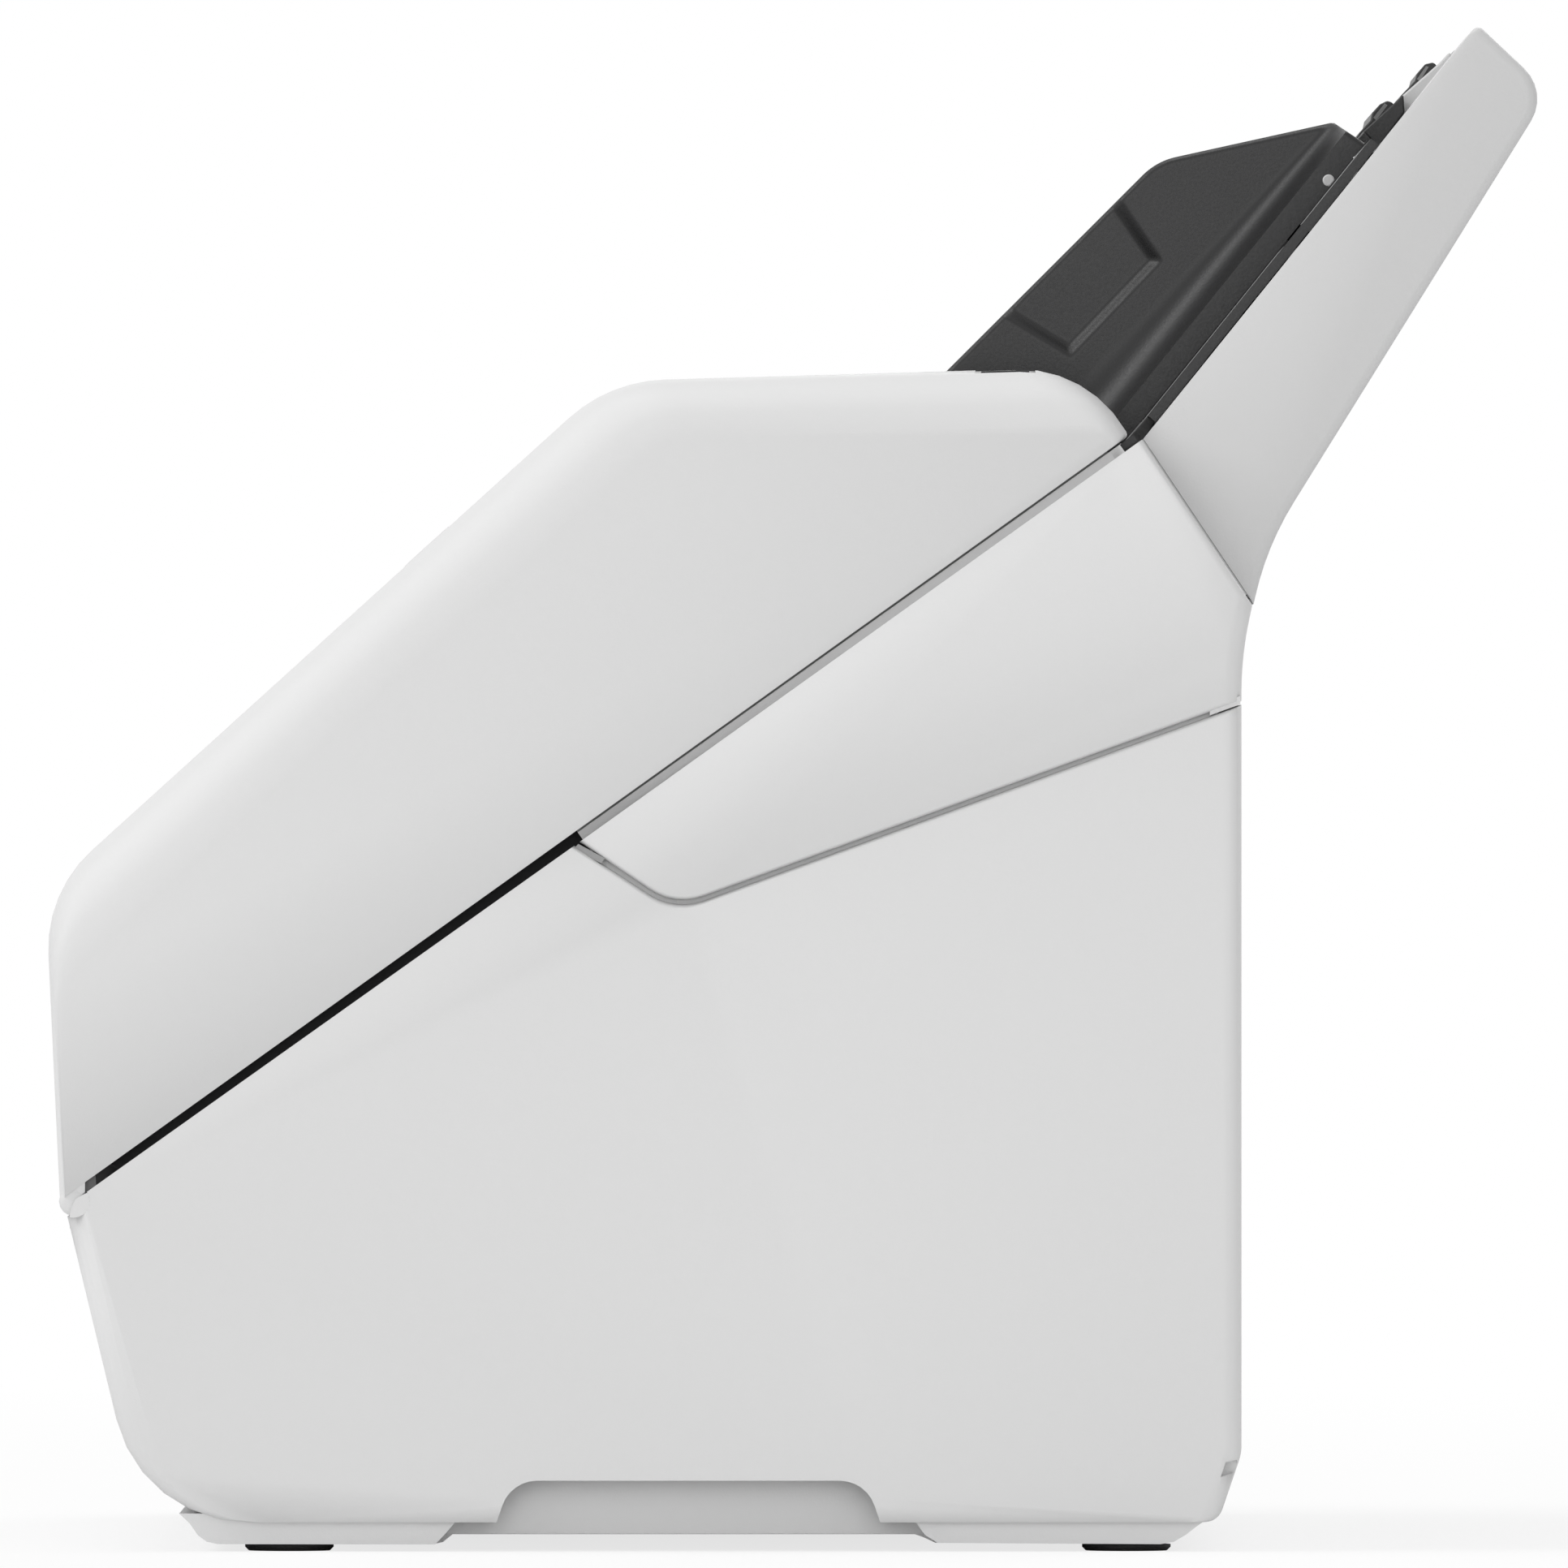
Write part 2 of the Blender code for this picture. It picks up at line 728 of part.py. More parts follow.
def baked(piece):
    """The piece with its modifiers made real, so that it can be cut or copied further."""
    graph = bpy.context.evaluated_depsgraph_get()
    mesh = bpy.data.meshes.new_from_object(piece.evaluated_get(graph))
    mesh.transform(piece.matrix_world)
    name = piece.name
    bpy.data.objects.remove(piece)
    return add_object(name, mesh)


def hatch_corners():
    """The hatch's side-view outline, from its front foot round under, back and over the top."""
    over_hinge = SEAM.at(0, HATCH_OFF)
    front_y = HINGE.x - KNUCKLE_RADIUS
    front = over_hinge + SEAM.along * ((front_y - over_hinge.x) / SEAM.along.x)
    tip = SEAM.at(1, HATCH_OFF)
    back = side_point(HATCH_BACK_SHARES)
    return [
        (front, 0),
        (tip, TIP_RADIUS),
        (back, BACK_RADIUS),
        (side_point(SLANT_HEAD_SHARES), BROW_RADIUS),
        (side_point(SLANT_FOOT_SHARES), NOSE_RADIUS),
    ]


def mouth_arc(radius, low, high):
    """An arc about the hinge, so that what stays inside it swings clear of the side guides."""
    angles = [low + (high - low) * step / WIDE_ARC_STEPS for step in range(WIDE_ARC_STEPS + 1)]
    return [HINGE + Vector((math.cos(a), math.sin(a))) * radius for a in angles]


def mouth_outline(radius):
    """All that lies behind an arc about the hinge, out past the hatch."""
    low = SEAM.angle - math.asin(OVERRUN / radius)
    high = SEAM.angle + MOUTH_TURN
    far = [HINGE + Vector((math.cos(a), math.sin(a))) * (radius * MOUTH_REACH_SHARE) for a in (high, low)]
    return mouth_arc(radius, low, high) + far


def make_hatch_cover():
    corners = hatch_corners()
    rounds = [0, HATCH_BACK_ROUND, HATCH_TOP_ROUND, HATCH_SLANT_ROUND, HATCH_FRONT_ROUND]
    drawn_in = shifted(corners, rounds)
    ends = [(point, corner[1] * share)
            for (point, _), corner, share in zip(drawn_in, corners, END_RADIUS_SHARES)]
    cover = crowned("hatch_cover", corners, ends, HALF_WIDTH, HATCH_EDGE_WIDTH)
    walls = [-OVERRUN, WALL, WALL, WALL, WALL]
    hollow = crowned("hatch_hollow", shifted(corners, walls), shifted(ends, walls),
                     HALF_WIDTH - WALL, HATCH_EDGE_WIDTH)
    far_side = prism("hatch_hollow_end", [mouth_outline(MOUTH_RADIUS - WALL)], -HALF_WIDTH, HALF_WIDTH)
    cut(hollow, far_side)
    mouth = prism("mouth", [mouth_outline(MOUTH_RADIUS)], -MOUTH_HALF_WIDTH, MOUTH_HALF_WIDTH)
    exit_low = HINGE.y - OVERRUN
    exit_back = HINGE.x + OVERRUN
    exit_slot = block(
        "hatch_exit", -EXIT_HALF_WIDTH - EAR_WIDTH - FIT, EXIT_HALF_WIDTH + EAR_WIDTH + FIT,
        HINGE.x - OVERRUN, exit_back, exit_low, HINGE.y + EXIT_HEIGHT,
    )
    panel = prism("panel_hole", [SLANT.strip(*PANEL_SHARES, -OVERRUN, OVERRUN)],
                  PANEL_X - PANEL_WIDTH / 2, PANEL_X + PANEL_WIDTH / 2)
    knuckles = []
    bores = []
    for side, word in ((-1, "left"), (1, "right")):
        knuckles.append(hinge_knuckle(word, side))
        bore_end = side * (EXIT_HALF_WIDTH + HINGE_PIN_LENGTH)
        bores.append(rod("knuckle_bore_" + word, HINGE_PIN_RADIUS + FIT,
                         side * EXIT_HALF_WIDTH, bore_end, HINGE))
    channel, pocket, trunnions = catch_room()
    cut(cover, hollow, mouth, exit_slot)
    join(cover, *knuckles)
    cut(cover, panel, channel, pocket, trunnions, *bores)
    return keep(cover, case_plastic(), in_space(0, HINGE))


def hinge_knuckle(word, side):
    """The hatch's lug round a hinge pin, flush with its side and eased at the outer end."""
    outer = HALF_WIDTH - KNUCKLE_INSET
    profile = [(0, outer)]
    for step in range(EDGE_STEPS + 1):
        angle = math.pi / 2 * step / EDGE_STEPS
        profile.append((KNUCKLE_RADIUS - KNUCKLE_EASE * (1 - math.sin(angle)),
                        outer - KNUCKLE_EASE * (1 - math.cos(angle))))
    inner = EXIT_HALF_WIDTH + EAR_WIDTH + FIT
    profile += [(KNUCKLE_RADIUS, inner), (0, inner)]
    if side < 0:
        profile = [(radius, -x) for radius, x in reversed(profile)]
    return baked(spun_across("knuckle_" + word, profile, HINGE, PINCH_SIDES))


def catch_room():
    """The channel that the catch swings in, the pocket for its pad and the bearings for its trunnions."""
    half = CATCH_WIDTH / 2 + RUNNING
    reach = (CATCH_THICK / 2 + CATCH_SWING) / SEAM.length
    channel = prism(
        "catch_channel",
        [SEAM.strip(CATCH_SHARE - reach, CATCH_SHARE + reach, -OVERRUN, CATCH_CHANNEL_OFF)],
        CATCH_X - half, CATCH_X + half,
    )
    first, last = PAD_SHARES
    room = PAD_ROOM / TOP.length
    pocket = prism("pad_pocket", [TOP.strip(first - room, last + room, -OVERRUN, OVERRUN)],
                   CATCH_X - half, CATCH_X + half)
    far = CATCH_WIDTH / 2 + TRUNNION_REACH + FIT
    pivot = SEAM.at(CATCH_SHARE, CATCH_PIVOT_OFF)
    bearings = rod("catch_bearings", TRUNNION_RADIUS + FIT, CATCH_X - far, CATCH_X + far, pivot)
    return channel, pocket, bearings


def make_catch():
    """The sprung tongue that holds the hatch down, worked from a pad in the hatch's top."""
    half = CATCH_THICK / 2 / SEAM.length
    first, last = PAD_SHARES
    low = CATCH_X - CATCH_WIDTH / 2
    high = CATCH_X + CATCH_WIDTH / 2
    body = prism("hatch_catch", [catch_outline(half)], low, high)
    pad = prism("catch_pad", [TOP.strip(first, last, -PAD_SINK - PAD_THICK, -PAD_SINK)], low, high)
    reach = CATCH_WIDTH / 2 + TRUNNION_REACH
    pivot = SEAM.at(CATCH_SHARE, CATCH_PIVOT_OFF)
    pins = rod("catch_trunnions", TRUNNION_RADIUS, CATCH_X - reach, CATCH_X + reach, pivot)
    join(body, pad, pins)
    return keep(body, dark_plastic(), in_space(CATCH_X, pivot))


def catch_outline(half):
    """The tongue up to its pivot, and the stem from there to the middle of the pad."""
    middle = sum(PAD_SHARES) / 2
    reach = CATCH_THICK / 2 / TOP.length
    low = BASE_OFF - CATCH_REACH
    return [
        SEAM.at(CATCH_SHARE - half, low), SEAM.at(CATCH_SHARE + half, low),
        SEAM.at(CATCH_SHARE + half, CATCH_PIVOT_OFF), TOP.at(middle + reach, -PAD_SINK - PAD_THICK / 2),
        TOP.at(middle - reach, -PAD_SINK - PAD_THICK / 2), SEAM.at(CATCH_SHARE - half, CATCH_PIVOT_OFF),
    ]


def base_axis(share, radius):
    """The centre of a roller that stands a little proud of the base's paper guide."""
    return SEAM.at(share, BED_OFF + ROLLER_PROUD - radius)


def hatch_axis(share, radius):
    """The centre of a hatch roller that all but touches the base's roller under it."""
    return SEAM.at(share, BED_OFF + ROLLER_PROUD + NIP + radius)


def gear_ring(teeth, module, phase, addendum=ADDENDUM_SHARE):
    """A gear's outline about its own centre, with involute flanks and one tooth at the phase angle."""
    pitch = teeth * module / 2
    base = pitch * math.cos(PRESSURE_ANGLE)
    tip = pitch + addendum * module
    root = pitch - DEDENDUM_SHARE * module

    def half_angle(radius):
        def involute(angle):
            return math.tan(angle) - angle
        slope = math.acos(min(1, base / max(radius, base)))
        thin = BACKLASH / 2 / pitch
        return math.pi / 2 / teeth - thin + involute(PRESSURE_ANGLE) - involute(slope)

    radii = (root, max(base, root + (pitch - root) / 2), pitch, tip)
    ring = []
    for tooth in range(teeth):
        middle = phase + math.tau * tooth / teeth
        rising = [(radius, middle - half_angle(radius)) for radius in radii]
        falling = [(radius, middle + half_angle(radius)) for radius in reversed(radii)]
        for radius, angle in rising + falling:
            ring.append(Vector((math.cos(angle), math.sin(angle))) * radius)
    return ring


def meshed_phase(phase, teeth, direction, other_teeth):
    """The phase of a gear that meshes with one already placed, in a direction from it."""
    offset = phase - direction
    return direction + math.pi - offset * teeth / other_teeth + math.pi / other_teeth


def circle(radius, sides=SMALL_SIDES):
    angles = [math.tau * step / sides for step in range(sides)]
    return [Vector((math.cos(a), math.sin(a))) * radius for a in angles]


def moved(ring, centre):
    return [centre + point for point in ring]


def drive_places():
    """Centres and phases of the motor pinion, the idler and the gear on the feed shaft."""
    feed = base_axis(FEED_SHARE, FEED_RADIUS)
    to_idler = SEAM.angle + IDLER_DIRECTION
    to_motor = SEAM.angle + MOTOR_DIRECTION
    feed_reach = (FEED_TEETH + IDLER_TEETH) * GEAR_MODULE / 2
    motor_reach = (IDLER_TEETH + MOTOR_TEETH) * GEAR_MODULE / 2
    idler = feed + Vector((math.cos(to_idler), math.sin(to_idler))) * feed_reach
    motor = idler + Vector((math.cos(to_motor), math.sin(to_motor))) * motor_reach
    motor_phase = to_motor + math.pi
    idler_phase = meshed_phase(motor_phase, MOTOR_TEETH, to_motor + math.pi, IDLER_TEETH)
    feed_phase = meshed_phase(idler_phase, IDLER_TEETH, to_idler + math.pi, FEED_TEETH)
    return (motor, motor_phase), (idler, idler_phase), (feed, feed_phase)


def make_drive_gears():
    (motor, motor_phase), (idler, idler_phase), (feed, feed_phase) = drive_places()
    left = DRIVE_X - GEAR_WIDTH / 2
    right = DRIVE_X + GEAR_WIDTH / 2
    bore = circle(MOTOR_SHAFT_RADIUS + FIT)
    pinion = prism("motor_pinion", [moved(gear_ring(MOTOR_TEETH, GEAR_MODULE, motor_phase), motor),
                                    moved(bore, motor)], left, right)
    keep(pinion, gear_plastic(), in_space(DRIVE_X, motor))
    bore = circle(IDLER_STUD_RADIUS + FIT)
    wheel = prism("idler_gear", [moved(gear_ring(IDLER_TEETH, GEAR_MODULE, idler_phase), idler),
                                 moved(bore, idler)], left, right)
    keep(wheel, gear_plastic(), in_space(DRIVE_X, idler))
    bore = circle(SHAFT_RADIUS + FIT)
    gear = prism("feed_gear", [moved(gear_ring(FEED_TEETH, GEAR_MODULE, feed_phase), feed),
                               moved(bore, feed)], left, right)
    keep(gear, gear_plastic(), in_space(DRIVE_X, feed))


def shaft_places():
    return (
        ("pick", base_axis(PICK_SHARE, PICK_RADIUS)),
        ("feed", base_axis(FEED_SHARE, FEED_RADIUS)),
        ("exit", base_axis(EXIT_SHARE, EXIT_RADIUS)),
    )


def make_shafts_and_pulleys():
    half = BELT_WIDTH / 2 + EASY / 2
    for word, centre in shaft_places():
        shaft = rod(word + "_shaft", SHAFT_RADIUS, SHAFT_LEFT_X, SHAFT_RIGHT_X, centre)
        keep(smooth(shaft), steel(), in_space(0, centre))
        profile = [
            (SHAFT_RADIUS + FIT, BELT_X + half + FLANGE), (FLANGE_RADIUS, BELT_X + half + FLANGE),
            (FLANGE_RADIUS, BELT_X + half), (PULLEY_RADIUS, BELT_X + half),
            (PULLEY_RADIUS, BELT_X - half), (FLANGE_RADIUS, BELT_X - half),
            (FLANGE_RADIUS, BELT_X - half - FLANGE), (SHAFT_RADIUS + FIT, BELT_X - half - FLANGE),
        ]
        pulley = baked(spun_across(word + "_pulley", profile, centre, SMALL_SIDES))
        keep(smooth(pulley), gear_plastic(), in_space(BELT_X, centre))


def make_belt():
    """One belt round the three pulleys, its runs straight and its wraps true arcs."""
    centres = [centre for _, centre in shaft_places()]
    inner = PULLEY_RADIUS + FIT

    def loop(radius):
        corners = [(centre, 0) for centre in centres]
        grown = shifted(corners, [-radius] * len(corners))
        return rounded([(point, radius) for point, _ in grown])

    belt = prism("drive_belt", [loop(inner + BELT), loop(inner)],
                 BELT_X - BELT_WIDTH / 2, BELT_X + BELT_WIDTH / 2)
    keep(belt, belt_rubber())


def make_tyre(name, centre, radius, x_middle, width, bore, material):
    """A rubber sleeve with eased ends."""
    half = width / 2
    profile = [
        (bore, x_middle + half), (radius - TYRE_EASE, x_middle + half), (radius, x_middle + half - TYRE_EASE),
        (radius, x_middle - half + TYRE_EASE), (radius - TYRE_EASE, x_middle - half), (bore, x_middle - half),
    ]
    tyre = baked(spun_across(name, profile, centre))
    keep(smooth(tyre), material, in_space(x_middle, centre))


def make_base_rollers():
    bore = SHAFT_RADIUS + FIT
    pick = base_axis(PICK_SHARE, PICK_RADIUS)
    feed = base_axis(FEED_SHARE, FEED_RADIUS)
    out = base_axis(EXIT_SHARE, EXIT_RADIUS)
    make_tyre("pick_tyre", pick, PICK_RADIUS, 0, PICK_WIDTH, bore, rubber())
    for side, word in ((-1, "left"), (1, "right")):
        make_tyre("feed_tyre_" + word, feed, FEED_RADIUS, side * TYRE_X, TYRE_WIDTH, bore, rubber())
        make_tyre("exit_tyre_" + word, out, EXIT_RADIUS, side * TYRE_X, TYRE_WIDTH, bore, rubber())


def make_hatch_rollers():
    separation = hatch_axis(PICK_SHARE, SEPARATION_RADIUS)
    half = SEPARATION_AXLE_HALF
    axle = rod("separation_axle", AXLE_RADIUS, -half, half, separation)
    keep(smooth(axle), steel(), in_space(0, separation))
    make_tyre("separation_roller", separation, SEPARATION_RADIUS, 0, SEPARATION_WIDTH,
              AXLE_RADIUS + FIT, rubber())
    for word, share, radius in (("feed", FEED_SHARE, PINCH_RADIUS), ("exit", EXIT_SHARE, EXIT_PINCH_RADIUS)):
        centre = hatch_axis(share, radius)
        profile = [(0, AXLE_HALF), (AXLE_RADIUS, AXLE_HALF)]
        for middle in (TYRE_X, -TYRE_X):
            top = middle + PINCH_WIDTH / 2
            foot = middle - PINCH_WIDTH / 2
            profile += [(AXLE_RADIUS, top), (radius, top), (radius, foot), (AXLE_RADIUS, foot)]
        profile += [(AXLE_RADIUS, -AXLE_HALF), (0, -AXLE_HALF)]
        roller = baked(spun_across(word + "_pinch_roller", profile, centre, PINCH_SIDES))
        keep(smooth(roller), inner_plastic(), in_space(0, centre))


def bar_shares(middle, length):
    return middle - length / 2, middle + length / 2


def make_scan_bars():
    """The two line sensors, each a bar behind a strip of glass let into its paper guide."""
    low = BED_OFF - PLATE - FIT
    lower = prism("lower_scan_bar", [SEAM.strip(*bar_shares(LOWER_BAR_SHARE, BAR_LENGTH_SHARE),
                                                low - BAR_DEPTH, low)], -BAR_HALF_WIDTH, BAR_HALF_WIDTH)
    keep(lower, inner_plastic())
    high = HATCH_BED_OFF + PLATE + FIT
    upper = prism("upper_scan_bar", [SEAM.strip(*bar_shares(UPPER_BAR_SHARE, BAR_LENGTH_SHARE),
                                                high, high + BAR_DEPTH)], -BAR_HALF_WIDTH, BAR_HALF_WIDTH)
    keep(upper, inner_plastic())
    half = GLASS_HALF_WIDTH
    top = BED_OFF - FIT / 2
    glass = prism("lower_scan_glass", [SEAM.strip(*bar_shares(LOWER_BAR_SHARE, GLASS_LENGTH_SHARE),
                                                  top - GLASS, top)], -half, half)
    keep(glass, bar_glass())
    foot = HATCH_BED_OFF + FIT / 2
    glass = prism("upper_scan_glass", [SEAM.strip(*bar_shares(UPPER_BAR_SHARE, GLASS_LENGTH_SHARE),
                                                  foot, foot + GLASS)], -half, half)
    keep(glass, bar_glass())


def glass_window(name, middle):
    """The window that a strip of glass sits in, cut with a gap all round it."""
    first, last = bar_shares(middle, GLASS_LENGTH_SHARE)
    ease = FIT / SEAM.length
    half = GLASS_HALF_WIDTH + FIT
    return prism(name, [SEAM.strip(first - ease, last + ease, -OVERRUN, OVERRUN)], -half, half)


def rib_outline(side):
    """The bearing plate at one end of the rollers; the left one also carries the motor."""
    motor = drive_places()[0][0]
    top = BED_OFF - PLATE / 2
    corners = [SEAM.at(RIB_FRONT_SHARE, top), SEAM.at(RIB_FRONT_SHARE, RIB_END_OFF),
               SEAM.at(EXIT_SHARE, RIB_DEEP_OFF)]
    if side < 0:
        along = (motor - SEAM.start).dot(SEAM.along) / SEAM.length
        off = (motor - SEAM.start).dot(SEAM.off) - MOTOR_RADIUS
        reach = MOTOR_RADIUS / SEAM.length
        wide = MOTOR_LUG / SEAM.length
        corners += [SEAM.at(along - wide, RIB_DEEP_OFF), SEAM.at(along - reach, off),
                    SEAM.at(along + reach, off), SEAM.at(along + wide, RIB_DEEP_OFF)]
    corners += [SEAM.at(PICK_SHARE, RIB_DEEP_OFF), SEAM.at(RIB_BACK_SHARE, RIB_END_OFF),
                SEAM.at(RIB_BACK_SHARE, top)]
    return corners


def make_base_frame():
    """The base's paper guide, with windows for rollers and glass and a bearing rib at each side."""
    half = HALF_WIDTH - WALL - RUNNING
    plate = prism("base_frame", [SEAM.strip(PATH_FRONT_SHARE, PATH_BACK_SHARE, BED_OFF - PLATE, BED_OFF)],
                  -half, half)
    ribs = []
    for side, word in ((-1, "left"), (1, "right")):
        ribs.append(prism("base_rib_" + word, [rib_outline(side)], side * RIB_X, side * (RIB_X + RIB)))
    fences = []
    for side, word in ((-1, "left"), (1, "right")):
        for part, outline in (("front", fence_outline()), ("rear", fence_end_outline())):
            fences.append(prism("fence_%s_%s" % (part, word), [outline],
                                side * (half - FIT), side * (half - FENCE)))
    join(plate, *ribs, *fences)
    cutters = [glass_window("lower_window", LOWER_BAR_SHARE)]
    pick, feed, out = [centre for _, centre in shaft_places()]
    windows = (
        ("pick_window", pick, PICK_RADIUS, 0, PICK_WIDTH),
        ("feed_window_left", feed, FEED_RADIUS, -TYRE_X, TYRE_WIDTH),
        ("feed_window_right", feed, FEED_RADIUS, TYRE_X, TYRE_WIDTH),
        ("exit_window_left", out, EXIT_RADIUS, -TYRE_X, TYRE_WIDTH),
        ("exit_window_right", out, EXIT_RADIUS, TYRE_X, TYRE_WIDTH),
    )
    for name, centre, radius, middle, width in windows:
        cutters.append(rod(name, radius + WINDOW_EASE, middle - width / 2 - WINDOW_EASE,
                           middle + width / 2 + WINDOW_EASE, centre, ROUND_SIDES))
    for word, centre in shaft_places():
        cutters.append(rod(word + "_bearings", SHAFT_RADIUS + FIT, -RIB_X - RIB - OVERRUN,
                           RIB_X + RIB + OVERRUN, centre))
    motor = drive_places()[0][0]
    cutters.append(rod("motor_seat", MOTOR_BOSS_RADIUS + FIT, -RIB_X - RIB - OVERRUN,
                       -RIB_X + OVERRUN, motor))
    cutters.append(catch_slot())
    cut(plate, *cutters)
    idler = drive_places()[1][0]
    stud = rod("idler_stud", IDLER_STUD_RADIUS, DRIVE_X - GEAR_WIDTH / 2 - EASY, -RIB_X - RIB / 2, idler)
    join(plate, stud)
    return keep(plate, inner_plastic())


def fence_outline():
    """The fence at each side of the paper guide, from behind the hinge to the hatch's mouth."""
    last = guide_back_share()
    low = BED_OFF - PLATE / 2
    return [
        SEAM.at(FENCE_FRONT_SHARE, low), SEAM.at(last, low), SEAM.at(last, FENCE_OFF),
        SEAM.at(FENCE_RISE_SHARE, FENCE_OFF), SEAM.at(FENCE_FRONT_SHARE, REAR_FENCE_OFF),
    ]


def fence_end_outline():
    """The low rear end of the fence, carried on past the guide over the rear cover's edge."""
    first = guide_back_share() - FENCE / SEAM.length
    low = BED_OFF - PLATE / 2
    clear = BASE_OFF + FIT
    return [
        SEAM.at(first, low), SEAM.at(PATH_BACK_SHARE, low), SEAM.at(PATH_BACK_SHARE, clear),
        SEAM.at(REAR_FENCE_SHARE, clear), SEAM.at(REAR_FENCE_SHARE, REAR_FENCE_OFF),
        SEAM.at(first, REAR_FENCE_OFF),
    ]


def catch_slot():
    """The slot in the base's guide that the catch's tongue drops into."""
    reach = (CATCH_THICK / 2 + CATCH_SWING) / SEAM.length
    half = CATCH_WIDTH / 2 + EASY
    return prism("catch_slot", [SEAM.strip(CATCH_SHARE - reach, CATCH_SHARE + reach,
                                           -OVERRUN, OVERRUN)], CATCH_X - half, CATCH_X + half)


def guide_back_share():
    """Where the hatch's paper guide ends, just short of the mouth's wall."""
    return (MOUTH_RADIUS - WALL - RUNNING) / SEAM.length


def make_hatch_guide():
    """The hatch's paper guide, with ribs behind it that carry its free rollers."""
    half = HALF_WIDTH - WALL - RUNNING
    top = HATCH_BED_OFF + PLATE
    last = guide_back_share()
    step_x = half - FLANGE_WIDTH
    plate = prism("hatch_guide", [SEAM.strip(PATH_FRONT_SHARE, last, HATCH_BED_OFF, top)], -step_x, step_x)
    ribs = []
    for side, word in ((-1, "left"), (1, "right")):
        web = SEAM.strip(PATH_FRONT_SHARE, last, HATCH_BED_OFF, FLANGE_OFF + PLATE)
        ribs.append(prism("web_" + word, [web], side * (step_x - PLATE), side * step_x))
        flange = SEAM.strip(PATH_FRONT_SHARE, last, FLANGE_OFF, FLANGE_OFF + PLATE)
        ribs.append(prism("flange_" + word, [flange], side * (step_x - PLATE), side * half))
    foot = HATCH_BED_OFF + PLATE / 2
    for side, word in ((-1, "left"), (1, "right")):
        outline = SEAM.strip(RIB_FRONT_SHARE, HATCH_RIB_BACK_SHARE, foot, HATCH_RIB_OFF)
        ribs.append(prism("hatch_rib_" + word, [outline], side * RIB_X, side * (RIB_X + RIB)))
        outline = SEAM.strip(*CHEEK_SHARES, foot, CHEEK_OFF)
        ribs.append(prism("cheek_" + word, [outline], side * CHEEK_X, side * (CHEEK_X + RIB)))
    join(plate, *ribs)
    separation = hatch_axis(PICK_SHARE, SEPARATION_RADIUS)
    feed = hatch_axis(FEED_SHARE, PINCH_RADIUS)
    out = hatch_axis(EXIT_SHARE, EXIT_PINCH_RADIUS)
    cutters = [glass_window("upper_window", UPPER_BAR_SHARE)]
    windows = (
        ("separation_window", separation, SEPARATION_RADIUS, 0, SEPARATION_WIDTH),
        ("feed_pinch_left", feed, PINCH_RADIUS, -TYRE_X, PINCH_WIDTH),
        ("feed_pinch_right", feed, PINCH_RADIUS, TYRE_X, PINCH_WIDTH),
        ("exit_pinch_left", out, EXIT_PINCH_RADIUS, -TYRE_X, PINCH_WIDTH),
        ("exit_pinch_right", out, EXIT_PINCH_RADIUS, TYRE_X, PINCH_WIDTH),
    )
    for name, centre, radius, middle, width in windows:
        cutters.append(rod(name, radius + WINDOW_EASE, middle - width / 2 - WINDOW_EASE,
                           middle + width / 2 + WINDOW_EASE, centre, ROUND_SIDES))
    for word, centre, reach in (("separation", separation, SEPARATION_AXLE_HALF),
                                ("feed_pinch", feed, RIB_X + RIB), ("exit_pinch", out, RIB_X + RIB)):
        cutters.append(rod(word + "_bearings", AXLE_RADIUS + FIT, -reach - OVERRUN, reach + OVERRUN, centre))
    cut(plate, *cutters)
    return keep(plate, inner_plastic(), in_space(0, HINGE))


def make_motor():
    motor = drive_places()[0][0]
    face = -RIB_X + FIT
    profile = [
        (0, face + MOTOR_LENGTH), (MOTOR_RADIUS - EASY, face + MOTOR_LENGTH),
        (MOTOR_RADIUS, face + MOTOR_LENGTH - EASY), (MOTOR_RADIUS, face), (MOTOR_BOSS_RADIUS, face),
        (MOTOR_BOSS_RADIUS, face - MOTOR_BOSS), (MOTOR_SHAFT_RADIUS, face - MOTOR_BOSS),
        (MOTOR_SHAFT_RADIUS, DRIVE_X - GEAR_WIDTH / 2 - EASY), (0, DRIVE_X - GEAR_WIDTH / 2 - EASY),
    ]
    piece = baked(spun_across("motor", profile, motor, PINCH_SIDES))
    keep(smooth(piece), steel(), in_space(face, motor))


def base_corners():
    """The main case's side-view outline, from the front of the seam round over the step and under."""
    return [
        (side_point(BASE_FRONT_SHARES), 0),
        (side_point(BASE_TOE_SHARES), TOE_RADIUS),
        (side_point(BASE_HEEL_SHARES), HEEL_RADIUS),
        (side_point(BASE_BACK_SHARES), BASE_BACK_RADIUS),
        (side_point(STEP_BACK_SHARES), 0),
        (side_point(NOTCH_SHARES), NOTCH_RADIUS),
        (SEAM.at(STEP_SEAM_SHARE, BASE_OFF), 0),
    ]


def cover_corners():
    """The rear cover's side-view outline, above the step."""
    rise = Vector((0, STEP_GAP / math.cos(SEAM.angle)))
    seam_front = SEAM.at(STEP_SEAM_SHARE, BASE_OFF) + SEAM.along * COVER_SEAM_GAP
    return [
        (side_point(NOTCH_SHARES) + rise, NOTCH_RADIUS),
        (side_point(STEP_BACK_SHARES) + rise, 0),
        (side_point(COVER_WAIST_SHARES), COVER_WAIST_RADIUS),
        (PARTING.at(1), 0),
        (PARTING.at(0), 0),
        (seam_front, 0),
    ]


